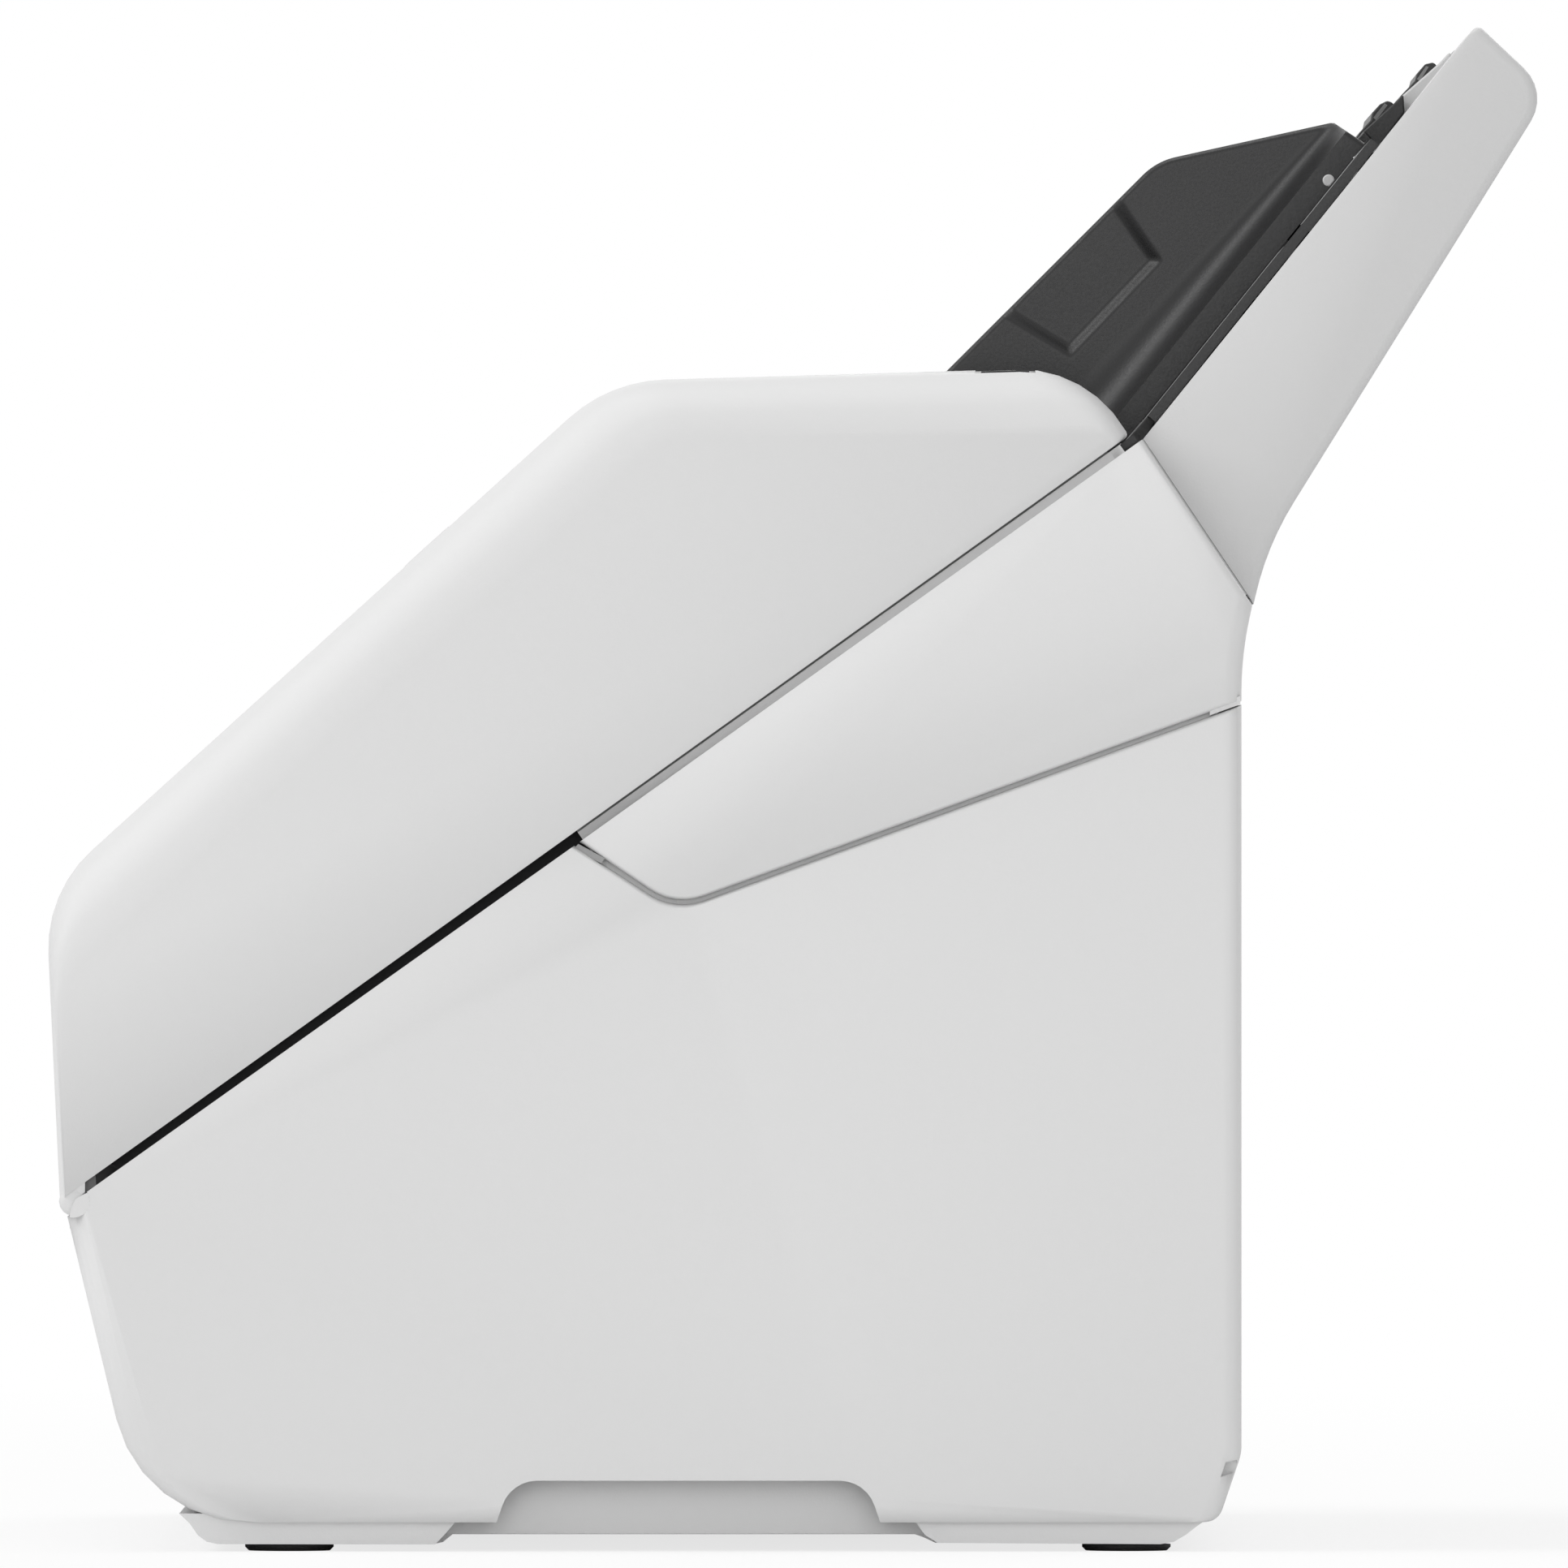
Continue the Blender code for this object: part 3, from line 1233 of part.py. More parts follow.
def make_main_case():
    corners = base_corners()
    rounds = [BASE_EDGE_ROUND, 0, BASE_EDGE_ROUND, BASE_EDGE_ROUND, STEP_CHAMFER, STEP_CHAMFER, 0]
    case = crowned("main_case", corners, shifted(corners, rounds), HALF_WIDTH, BASE_EDGE_WIDTH)
    walls = [WALL, WALL, WALL, WALL, -OVERRUN, -OVERRUN, -OVERRUN]
    inner = shifted(corners, walls)
    hollow = prism("case_hollow", [rounded(inner)], -HALF_WIDTH + WALL, HALF_WIDTH - WALL)
    first, last = [side_point((share, 0)).x for share in PAN_OPENING_SHARES]
    opening = block("pan_opening", -HALF_WIDTH + WALL, HALF_WIDTH - WALL, first, last,
                    -OVERRUN, BASE_FACE.start.y + OVERRUN)
    relief = rod("hinge_relief", KNUCKLE_RADIUS + HINGE_RELIEF, -HALF_WIDTH - OVERRUN,
                 HALF_WIDTH + OVERRUN, HINGE, ROUND_SIDES)
    low = DRAWER_LOW_SHARE * BODY_HEIGHT
    drawer = block("drawer_slot", -DRAWER_HALF_WIDTH, DRAWER_HALF_WIDTH, FRONT_Y - OVERRUN,
                   HINGE.x + DRAWER_CUT, low, low + DRAWER_HEIGHT)
    cut(case, hollow, opening, relief, drawer)
    join(case, *drawer_shelves(), *hinge_ears(), *step_lips())
    cut(case, *ear_bores(), *grip_cutters(), *socket_holes(), lock_notch())
    return keep(case, case_plastic())


def step_lips():
    """The inner lips that stand behind the rear cover's lower edge, each on a foot inside the wall."""
    inner = HALF_WIDTH - WALL - FIT
    lips = []
    for side, word in ((-1, "left"), (1, "right")):
        for run, shares, part in ((STEP, STEP_LIP_SHARES, "back"),
                                  (STEP_FRONT, STEP_FRONT_LIP_SHARES, "front")):
            lips.append(prism("lip_%s_%s" % (part, word), [run.strip(*shares, -LIP_FOOT, LIP_RISE)],
                              side * (inner - LIP), side * inner))
            lips.append(prism("lip_foot_%s_%s" % (part, word), [run.strip(*shares, -LIP_FOOT, -LIP_SINK)],
                              side * (inner - LIP), side * (HALF_WIDTH - WALL + LIP)))
    return lips


def lock_notch():
    """The small notch for a lock at the foot of the right side."""
    return prism("lock_notch", [[side_point(shares) for shares in LOCK_SHARES]],
                 HALF_WIDTH - LOCK_DEPTH, HALF_WIDTH + OVERRUN)


def drawer_shelves():
    """The shelf at each side that the output tray slides on."""
    top = DRAWER_LOW_SHARE * BODY_HEIGHT + RUNNING
    front = BASE_FACE.at(SHELF_FACE_SHARE).x + WALL
    back = front + SHELF_LENGTH_SHARE * BODY_DEPTH
    shelves = []
    for side, word in ((-1, "left"), (1, "right")):
        shelves.append(block("shelf_" + word, side * (DRAWER_HALF_WIDTH - SHELF_REACH),
                             side * (HALF_WIDTH - WALL / 2), front, back, top - SHELF, top))
    return shelves


def hinge_ears():
    """The lugs on the front wall that hold the hinge pins."""
    ears = []
    for side, word in ((-1, "left"), (1, "right")):
        inner = side * EXIT_HALF_WIDTH
        outer = side * (EXIT_HALF_WIDTH + EAR_WIDTH)
        ears.append(rod("ear_" + word, KNUCKLE_RADIUS, inner, outer, HINGE))
        foot = HINGE.y - EAR_DROP
        ears.append(block("ear_web_" + word, inner, outer, HINGE.x - KNUCKLE_RADIUS / 2,
                          HINGE.x + KNUCKLE_RADIUS, foot, HINGE.y))
    return ears


def ear_bores():
    bores = []
    for side, word in ((-1, "left"), (1, "right")):
        bores.append(rod("ear_bore_" + word, HINGE_PIN_RADIUS + FIT, side * (EXIT_HALF_WIDTH - EASY),
                         side * (EXIT_HALF_WIDTH + EAR_WIDTH + EASY), HINGE))
    return bores


def make_hinge_pins():
    """Headed pins through the base's ears into the hatch's knuckles."""
    for side, word in ((-1, "left"), (1, "right")):
        head_x = EXIT_HALF_WIDTH - FIT
        tip_x = head_x + HINGE_PIN_LENGTH - FIT - EASY
        profile = [
            (0, tip_x), (HINGE_PIN_RADIUS, tip_x), (HINGE_PIN_RADIUS, head_x),
            (HINGE_HEAD_RADIUS, head_x), (HINGE_HEAD_RADIUS, head_x - HINGE_HEAD), (0, head_x - HINGE_HEAD),
        ]
        if side < 0:
            profile = [(radius, -x) for radius, x in reversed(profile)]
        pin = baked(spun_across("hinge_pin_" + word, profile, HINGE, SMALL_SIDES))
        keep(smooth(pin), steel(), in_space(side * head_x, HINGE))


def grip_outline(grow=0):
    """The hand grip cut up into the side's lower edge."""
    middle = side_point((GRIP_MIDDLE_SHARE, 0)).x
    top = PAN_TOP + GRIP_HEIGHT + grow
    half = GRIP_LENGTH / 2 + grow
    low = -OVERRUN
    return rounded([
        (Vector((middle - half, low)), 0), (Vector((middle + half, low)), 0),
        (Vector((middle + half - GRIP_RADIUS, top)), GRIP_RADIUS),
        (Vector((middle - half + GRIP_RADIUS, top)), GRIP_RADIUS),
    ])


def grip_cutters():
    cutters = []
    for side, word in ((-1, "left"), (1, "right")):
        cutters.append(prism("grip_" + word, [grip_outline()], side * (HALF_WIDTH - WALL - OVERRUN),
                             side * (HALF_WIDTH + OVERRUN)))
    return cutters


def socket_places():
    return (("dc", DC_X, DC_WIDTH, DC_HEIGHT), ("usb", USB_X, USB_WIDTH, USB_HEIGHT))


def socket_holes():
    holes = []
    for word, x, width, height in socket_places():
        holes.append(block(word + "_hole", x - width / 2 - FIT, x + width / 2 + FIT,
                           REAR_Y - WALL - OVERRUN, REAR_Y + OVERRUN,
                           SOCKET_Z - height / 2 - FIT, SOCKET_Z + height / 2 + FIT))
    return holes


def board_face():
    """Where the board's rear face lies."""
    return REAR_Y - WALL - BOARD_BACK


def make_sockets():
    front = board_face() + FIT
    back = REAR_Y - BUTTON_PROUD
    for word, x, width, height in socket_places():
        body = block(word + "_socket", x - width / 2, x + width / 2, front, back,
                     SOCKET_Z - height / 2, SOCKET_Z + height / 2)
        if word == "dc":
            shell = bmesh.new()
            placing = Matrix.Translation((x, back, SOCKET_Z)) @ Matrix.Rotation(math.pi / 2, 4, "X")
            bmesh.ops.create_cone(shell, cap_ends=True, segments=SMALL_SIDES, radius1=DC_BORE_RADIUS,
                                  radius2=DC_BORE_RADIUS, depth=2 * SOCKET_HOLE_DEPTH, matrix=placing)
            mesh = bpy.data.meshes.new("dc_bore")
            shell.to_mesh(mesh)
            shell.free()
            cut(body, add_object("dc_bore", mesh))
        else:
            cut(body, block("usb_opening", x - USB_HOLE_WIDTH / 2, x + USB_HOLE_WIDTH / 2,
                            back - SOCKET_HOLE_DEPTH, back + OVERRUN,
                            SOCKET_Z - USB_HOLE_HEIGHT / 2, SOCKET_Z + USB_HOLE_HEIGHT / 2))
        keep(body, inner_plastic())


def make_board():
    back = board_face()
    board = block("main_board", -BOARD_HALF_WIDTH, BOARD_HALF_WIDTH, back - BOARD, back,
                  BOARD_FOOT, BOARD_FOOT + BOARD_HEIGHT)
    keep(board, board_green())


def make_rear_cover():
    corners = cover_corners()
    rounds = [STEP_CHAMFER, COVER_BACK_ROUND, COVER_BACK_ROUND, COVER_PARTING_ROUND, 0, STEP_CHAMFER]
    ends = eased_waist(shifted(corners, rounds))
    cover = crowned("rear_upper_cover", corners, ends, HALF_WIDTH, BASE_EDGE_WIDTH)
    inner = eased_waist(shifted(corners, [-OVERRUN, WALL, WALL, WALL, -OVERRUN, -OVERRUN]))
    hollow = prism("cover_hollow", [rounded(inner)], -HALF_WIDTH + WALL, HALF_WIDTH - WALL)
    cut(cover, hollow)
    join(cover, *seam_lips())
    return keep(cover, case_plastic())


def eased_waist(corners):
    """The outline with its long concave curve drawn tighter, to fit the shorter edges beside it."""
    return [(point, min(radius, COVER_WAIST_RADIUS * COVER_WAIST_END_SHARE)) for point, radius in corners]


def seam_lips():
    """The lip at each side that fills the seam under the hatch, and its flush end."""
    wall = HALF_WIDTH - WALL
    first, last = SEAM_LIP_SHARES
    low = BASE_OFF - WALL
    lips = []
    for side, word in ((-1, "left"), (1, "right")):
        lips.append(prism("seam_lip_" + word, [SEAM.strip(first, last, low, SEAM_LIP_OFF)],
                          side * (wall + FIT), side * (wall + FIT + LIP)))
        lips.append(prism("seam_end_" + word, [SEAM.strip(last, SEAM_LIP_END_SHARE, low, SEAM_LIP_OFF)],
                          side * (wall + FIT), side * (HALF_WIDTH - LIP)))
    return lips


def pan_outline():
    """The bottom pan's side-view outline: a raised middle between two low platforms."""
    front = side_point((PAN_FRONT_SHARE, 0)).x
    back = side_point((PAN_BACK_SHARE, 0)).x
    first = side_point((PAN_STEP_SHARES[0], 0)).x
    last = side_point((PAN_STEP_SHARES[1], 0)).x
    return [
        Vector((front - PAN_FRONT_RISE, PAN_TOP)), Vector((front, PAN_LIFT)),
        Vector((first - PAN_SLOPE, PAN_LIFT)), Vector((first, PAN_MIDDLE_LIFT)),
        Vector((last, PAN_MIDDLE_LIFT)), Vector((last + PAN_SLOPE, PAN_LIFT)),
        Vector((back - PAN_BACK_RISE, PAN_LIFT)), Vector((back, PAN_TOP)),
    ]


def make_pan():
    """The plate that closes the base from below, with an upstanding rim behind each hand grip."""
    half = HALF_WIDTH - PAN_SIDE_INSET
    pan = prism("bottom_pan", [pan_outline()], -half, half)
    middle = side_point((GRIP_MIDDLE_SHARE, 0)).x
    reach = GRIP_LENGTH / 2
    roof = PAN_TOP + GRIP_HEIGHT + RUNNING
    cups = []
    hollows = []
    for side, word in ((-1, "left"), (1, "right")):
        inner = side * (HALF_WIDTH - GRIP_DEPTH)
        cups.append(block("cup_" + word, inner - side * THIN_WALL, side * (HALF_WIDTH - WALL - FIT),
                          middle - reach - THIN_WALL, middle + reach + THIN_WALL,
                          PAN_MIDDLE_LIFT + FIT, roof + THIN_WALL))
        hollows.append(block("cup_hollow_" + word, inner, side * (HALF_WIDTH + OVERRUN),
                             middle - reach, middle + reach, -OVERRUN, roof))
    join(pan, *cups)
    cut(pan, *hollows)
    return keep(pan, case_plastic())


def make_feet():
    for x, word in ((-FOOT_X, "left"), (FOOT_X, "right")):
        for share, end in zip(FOOT_SHARES, ("front", "rear")):
            y = side_point((share, 0)).x
            top = PAN_LIFT - FIT / 2
            profile = [(0, top), (FOOT_RADIUS, top), (FOOT_RADIUS, FOOT_EDGE),
                       (FOOT_RADIUS - FOOT_EDGE, 0), (0, 0)]
            foot = baked(turned("foot_" + end + "_" + word, profile, Matrix.Translation((x, y, 0))))
            keep(smooth(foot), rubber(), Vector((x, y, 0)))


def stop_hinge():
    """The axis that the output tray's front flap folds down about."""
    z = DRAWER_LOW_SHARE * BODY_HEIGHT + STOP_KNUCKLE + RUNNING
    share = (z - BASE_FACE.start.y) / BASE_FACE.along.y / BASE_FACE.length
    return Vector((BASE_FACE.at(share).x + STOP_KNUCKLE, z))


def make_output_tray():
    axis = stop_hinge()
    top = axis.y + DRAWER_PLATE / 2
    front = axis.x + STOP_KNUCKLE + RUNNING
    half = DRAWER_HALF_WIDTH - RUNNING
    plate = block("output_tray", -half, half, front, front + DRAWER_LENGTH, top - DRAWER_PLATE, top)
    keep(plate, dark_plastic(), Vector((0, front, axis.y)))


def make_output_stop():
    axis = stop_hinge()
    half = DRAWER_HALF_WIDTH - RUNNING
    low = (axis.y - BASE_FACE.start.y) / BASE_FACE.along.y / BASE_FACE.length
    high = low + (DRAWER_HEIGHT - STOP_KNUCKLE - 2 * RUNNING) / BASE_FACE.along.y / BASE_FACE.length
    flap = prism("output_stop", [BASE_FACE.strip(low, high, -STOP_THICK, 0)], -half, half)
    knuckle = rod("stop_knuckle", STOP_KNUCKLE, -half, half, axis)
    join(flap, knuckle)
    keep(flap, case_plastic(), in_space(0, axis))


def tray_corners(waist_radius=WAIST_RADIUS):
    crest_y = TRAY_BACK_SHARE
    crest = Vector((REAR_Y + crest_y * TRAY_OVERHANG, BODY_HEIGHT + TRAY_RISE - TRAY_TOP_DROP))
    waist = side_point(TRAY_WAIST_SHARES)
    return [
        (PARTING.at(0, STEP_GAP), 0),
        (PARTING.at(1, STEP_GAP), 0),
        (waist, waist_radius),
        (crest, CREST_RADIUS),
        (APEX, APEX_RADIUS),
    ]


def make_tray():
    corners = tray_corners()
    rounds = [0, TRAY_EDGE_ROUND, TRAY_EDGE_ROUND, TRAY_EDGE_ROUND, 0]
    shell = crowned("input_tray", corners, shifted(corners, rounds), TRAY_WIDTH / 2, TRAY_EDGE_WIDTH)
    inner = shifted(tray_corners(WAIST_INNER_RADIUS), [WALL, THIN_WALL, THIN_WALL, THIN_WALL, -OVERRUN])
    hollow = prism("tray_hollow", [rounded(inner)], -TRAY_WIDTH / 2 + WALL, TRAY_WIDTH / 2 - WALL)
    face = prism("tray_face", [TRAY.strip(FACE_SHARE, SLOT_END_SHARE, -THIN_WALL, OVERRUN + WALL)],
                 -TRAY_WIDTH / 2, TRAY_WIDTH / 2)
    cut(hollow, face)
    cut(shell, hollow, *extension_slots())
    return keep(shell, tray_plastic())


def extension_slots():
    """The slot in the tray's top edge for the extensions, and the wider one that their grips run in."""
    low = EXTENSION_OFF - 2 * EXTENSION - 3 * EXTENSION_GAP
    half = EXTENSION_HALF_WIDTHS[0] + RUNNING
    plates = prism("extension_slot", [TRAY.strip(EXTENSION_SLOT_SHARE, SLOT_END_SHARE, low,
                                                 EXTENSION_OFF + EXTENSION_GAP)], -half, half)
    half = GRIP_HALF_WIDTHS[0] + EASY
    grips = prism("grip_slot", [TRAY.strip(FACE_SHARE - FIT, SLOT_END_SHARE, low, OVERRUN)], -half, half)
    return plates, grips


def rack_ring(direction):
    """A rack bar drawn in X and along the bed, its teeth towards the pinion at the middle."""
    pitch = math.pi * RACK_MODULE
    radius = PINION_TEETH * RACK_MODULE / 2
    tip = radius - ADDENDUM_SHARE * RACK_MODULE
    root = radius + DEDENDUM_SHARE * RACK_MODULE
    slope = math.tan(PRESSURE_ANGLE)
    half = pitch / 4 - BACKLASH / 2
    half_tip = half - (radius - tip) * slope
    half_root = half + (root - radius) * slope
    first = -pitch * RACK_LEAD_TEETH
    ring = []
    for tooth in range(RACK_TEETH):
        middle = first + pitch * tooth
        for offset, height in ((-half_root, root), (-half_tip, tip), (half_tip, tip), (half_root, root)):
            ring.append(Vector((middle + offset, height)))
    far = GUIDE_INNER_X + STEM_WIDTH
    ring += [Vector((far, root)), Vector((far, root + RACK_BODY)), Vector((ring[0].x, root + RACK_BODY))]
    return [Vector((point.x * direction, point.y * direction)) for point in ring]


def rack_plane():
    middle = PAPER_BED_OFF - FIT - RACK_THICK / 2
    return plane_on(TRAY, PINION_SHARE, middle)


def make_guides():
    """Two side guides: a tall flared wall outside the bed, its rack behind the bed."""
    root = PINION_TEETH * RACK_MODULE / 2 + DEDENDUM_SHARE * RACK_MODULE
    for side, word in ((-1, "left"), (1, "right")):
        guide = guide_wall(word, side)
        rack = extruded("rack_" + word, [rack_ring(side)], RACK_THICK, rack_plane())
        stem_low = PAPER_BED_OFF - FIT - RACK_THICK / 2
        stem_high = GUIDE_RIDGE / 2 + PAPER_BED
        middle = PINION_SHARE + side * (root + RACK_BODY / 2) / TRAY.length
        reach = (RACK_BODY / 2 - FIT) / TRAY.length
        stem = prism("stem_" + word, [TRAY.strip(middle - reach, middle + reach, stem_low, stem_high)],
                     side * (GUIDE_INNER_X + FIT), side * (GUIDE_INNER_X + STEM_WIDTH - FIT))
        combine(guide, "UNION", (stem, rack), "MANIFOLD")
        keep(guide, dark_plastic(), in_space(side * GUIDE_INNER_X, TRAY.at(PINION_SHARE)))


def guide_foot_off():
    return PAPER_BED_OFF + PAPER_BED + GUIDE_GAP


def guide_point(shares):
    foot = guide_foot_off()
    return TRAY.at(shares[0], foot + shares[1] * (GUIDE_HEIGHT - foot))


def guide_wall(word, side):
    """The guide's wall, flared out to its foot, with a finger pocket in its outer face."""
    inner = side * GUIDE_INNER_X
    outer = side * (GUIDE_INNER_X + GUIDE_FOOT_WIDTH)
    outline = rounded([
        (guide_point(GUIDE_HEEL_SHARES), 0), (guide_point(GUIDE_END_SHARES), 0),
        (guide_point(GUIDE_PEAK_SHARES), GUIDE_PEAK_RADIUS),
        (guide_point(GUIDE_BROW_SHARES), GUIDE_BROW_RADIUS),
        (guide_point(GUIDE_TOE_SHARES), GUIDE_TOE_RADIUS),
    ])
    wall = prism("guide_" + word, [outline], inner, outer)
    face = GUIDE_INNER_X + GUIDE_WALL
    far = GUIDE_INNER_X + GUIDE_FOOT_WIDTH
    section = [Vector((face, GUIDE_HEIGHT + OVERRUN))]
    rise = GUIDE_FLARE_RADIUS * math.sin(GUIDE_FLARE_TURN)
    centre = Vector((face + GUIDE_FLARE_RADIUS, GUIDE_RIDGE + rise))
    for step in range(ARC_STEPS + 1):
        angle = math.pi + GUIDE_FLARE_TURN * step / ARC_STEPS
        section.append(centre + Vector((math.cos(angle), math.sin(angle))) * GUIDE_FLARE_RADIUS)
    section += [Vector((far + OVERRUN, GUIDE_RIDGE)), Vector((far + OVERRUN, GUIDE_HEIGHT + OVERRUN))]
    section = [Vector((side * point.x, point.y)) for point in section]
    flare = extruded("flare_" + word, [section], FLARE_LENGTH, plane_along(TRAY, FLARE_MIDDLE_SHARE))
    floor = [(TRAY.at(share, off), 0) for share, off in FINGER_SHARES]
    mouth = [point for point, _ in shifted(floor, [-FINGER_SLOPE] * len(floor))]
    pocket = lofted("finger_" + word, [
        (side * (face - FINGER_DEPTH), [point for point, _ in floor]), (side * (face + FIT), mouth),
        (side * (far + OVERRUN), mouth),
    ])
    notch = rod("foot_notch_" + word, FOOT_NOTCH_RADIUS, side * (far - FOOT_NOTCH_DEPTH),
                side * (far + OVERRUN), TRAY.at(FOOT_NOTCH_SHARE, guide_foot_off()))
    return baked(cut(wall, flare, pocket, notch))


def make_guide_pinion():
    ring = gear_ring(PINION_TEETH, RACK_MODULE, math.pi / 2)
    pinion = extruded("guide_pinion", [ring, circle(PINION_BORE_RADIUS)], RACK_THICK, rack_plane())
    keep(pinion, gear_plastic(), in_space(0, TRAY.at(PINION_SHARE)))


def make_paper_bed():
    """The bed that the paper lies on, with a slot for each guide's stem and a stud for the pinion."""
    half = TRAY_WIDTH / 2 - WALL - RUNNING
    first, last = PAPER_BED_SHARES
    bed = prism("tray_bed", [TRAY.strip(first, last, PAPER_BED_OFF, PAPER_BED_OFF + PAPER_BED)], -half, half)
    root = PINION_TEETH * RACK_MODULE / 2 + DEDENDUM_SHARE * RACK_MODULE
    reach = (RACK_BODY / 2 + SLOT_EASE) / TRAY.length
    slots = []
    for side, word in ((-1, "left"), (1, "right")):
        middle = PINION_SHARE + side * (root + RACK_BODY / 2) / TRAY.length
        near = side * (GUIDE_INNER_X - GUIDE_TRAVEL - SLOT_EASE)
        far = side * (GUIDE_INNER_X + STEM_WIDTH + SLOT_EASE)
        slots.append(prism("slot_" + word, [TRAY.strip(middle - reach, middle + reach, -OVERRUN, OVERRUN)],
                           near, far))
    cut(bed, *slots)
    stud_plane = plane_on(TRAY, PINION_SHARE, PAPER_BED_OFF - RACK_THICK / 2)
    stud = extruded("pinion_stud", [circle(PINION_BORE_RADIUS - FIT)], RACK_THICK + PAPER_BED, stud_plane)
    join(bed, stud)
    keep(bed, dark_plastic())


def make_extensions():
    """Two nested plates behind the bed, each with a dark finger grip at its top edge."""
    top = EXTENSION_OFF
    for index, word in enumerate(("lower", "upper")):
        low = top - EXTENSION
        half = EXTENSION_HALF_WIDTHS[index]
        grip_first, grip_last = (LOWER_GRIP_SHARES, UPPER_GRIP_SHARES)[index]
        last = EXTENSION_TOP_SHARES[index]
        plate = prism("extension_" + word, [TRAY.strip(EXTENSION_FOOT_SHARE, last, low, top)], -half, half)
        keep(plate, tray_plastic(), in_space(0, TRAY.at(last, top)))
        grip_half = GRIP_HALF_WIDTHS[index]
        first_off = top + FIT
        outline = TRAY.strip(grip_first, grip_last, first_off, GRIP_PROUD)
        corners = [(outline[0], 0), (outline[1], 0), (outline[2], GRIP_CORNER), (outline[3], GRIP_CORNER)]
        grip = prism("grip_" + word, [rounded(corners)], -grip_half, grip_half)
        keep(grip, dark_plastic(), in_space(0, TRAY.at(grip_first, first_off)))
        top = low - EXTENSION_GAP


def make_panel():
    """The control panel let into the slant: a bezel, a display and two push buttons."""
    first, last = PANEL_SHARES
    ease = FIT / SLANT.length
    left = PANEL_X - PANEL_WIDTH / 2 + FIT
    right = PANEL_X + PANEL_WIDTH / 2 - FIT
    bezel = prism("panel_bezel", [SLANT.strip(first + ease, last - ease, -PANEL_SINK - PANEL_THICK,
                                              -PANEL_SINK)], left, right)
    cutters = []
    d_first, d_last = DISPLAY_SHARES
    pocket = SLANT.strip(d_first - ease, d_last + ease, -PANEL_SINK - DISPLAY_THICK - FIT, OVERRUN)
    cutters.append(prism("display_pocket", [pocket], DISPLAY_X - DISPLAY_WIDTH / 2 - FIT,
                         DISPLAY_X + DISPLAY_WIDTH / 2 + FIT))
    for index, offset in enumerate(BUTTON_OFFSETS):
        plane = plane_on(SLANT, BUTTON_SHARE, 0)
        hole = extruded("button_hole_%d" % index, [circle(BUTTON_RADIUS + FIT, ROUND_SIDES)],
                        BUTTON_HOLE_DEPTH, plane @ Matrix.Translation((PANEL_X + offset, 0, 0)))
        cutters.append(hole)
    cut(bezel, *cutters)
    keep(bezel, dark_plastic())
    glass = prism("display", [SLANT.strip(d_first, d_last, -PANEL_SINK - DISPLAY_THICK, -PANEL_SINK)],
                  DISPLAY_X - DISPLAY_WIDTH / 2, DISPLAY_X + DISPLAY_WIDTH / 2)
    keep(glass, bar_glass())
    for offset, word in zip(BUTTON_OFFSETS, ("scan_button", "power_button")):
        x = PANEL_X + offset
        back = -PANEL_SINK - PANEL_THICK - FIT
        plane = plane_on(SLANT, BUTTON_SHARE, 0) @ Matrix.Translation((x, 0, 0))
        profile = [
            (0, BUTTON_PROUD), (BUTTON_RADIUS - BUTTON_PROUD, BUTTON_PROUD), (BUTTON_RADIUS, 0),
            (BUTTON_RADIUS, back), (BUTTON_COLLAR, back),
            (BUTTON_COLLAR, back - BUTTON_COLLAR_THICK), (0, back - BUTTON_COLLAR_THICK),
        ]
        button = baked(turned(word, profile, plane))
        keep(smooth(button), case_plastic(), in_space(x, SLANT.at(BUTTON_SHARE)))


def main():
    clear_scene()
    new_collection("Sheet-fed scanner")
    new_collection("Cutters")
    make_main_case()
    make_pan()
    make_feet()
    make_rear_cover()
    make_base_frame()
    make_shafts_and_pulleys()
    make_base_rollers()
    make_drive_gears()
    make_belt()
    make_motor()
    make_board()
    make_sockets()
    make_output_tray()
    make_output_stop()
    make_tray()
    make_paper_bed()
    make_extensions()
    make_guide_pinion()
    make_guides()
    make_hatch_cover()
    make_catch()
    make_hatch_guide()
    make_hatch_rollers()
    make_scan_bars()
    make_hinge_pins()
    make_panel()


main()
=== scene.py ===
"""A desktop sheet-fed scanner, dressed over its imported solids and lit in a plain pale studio.

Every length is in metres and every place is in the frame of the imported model. Each finish is
built from shader nodes. Treads, screws and board parts come from geometry nodes, which are made
a plain mesh before the piece joins its body.
"""

import json
import math

import bmesh
import bpy
from mathutils import Matrix, Vector


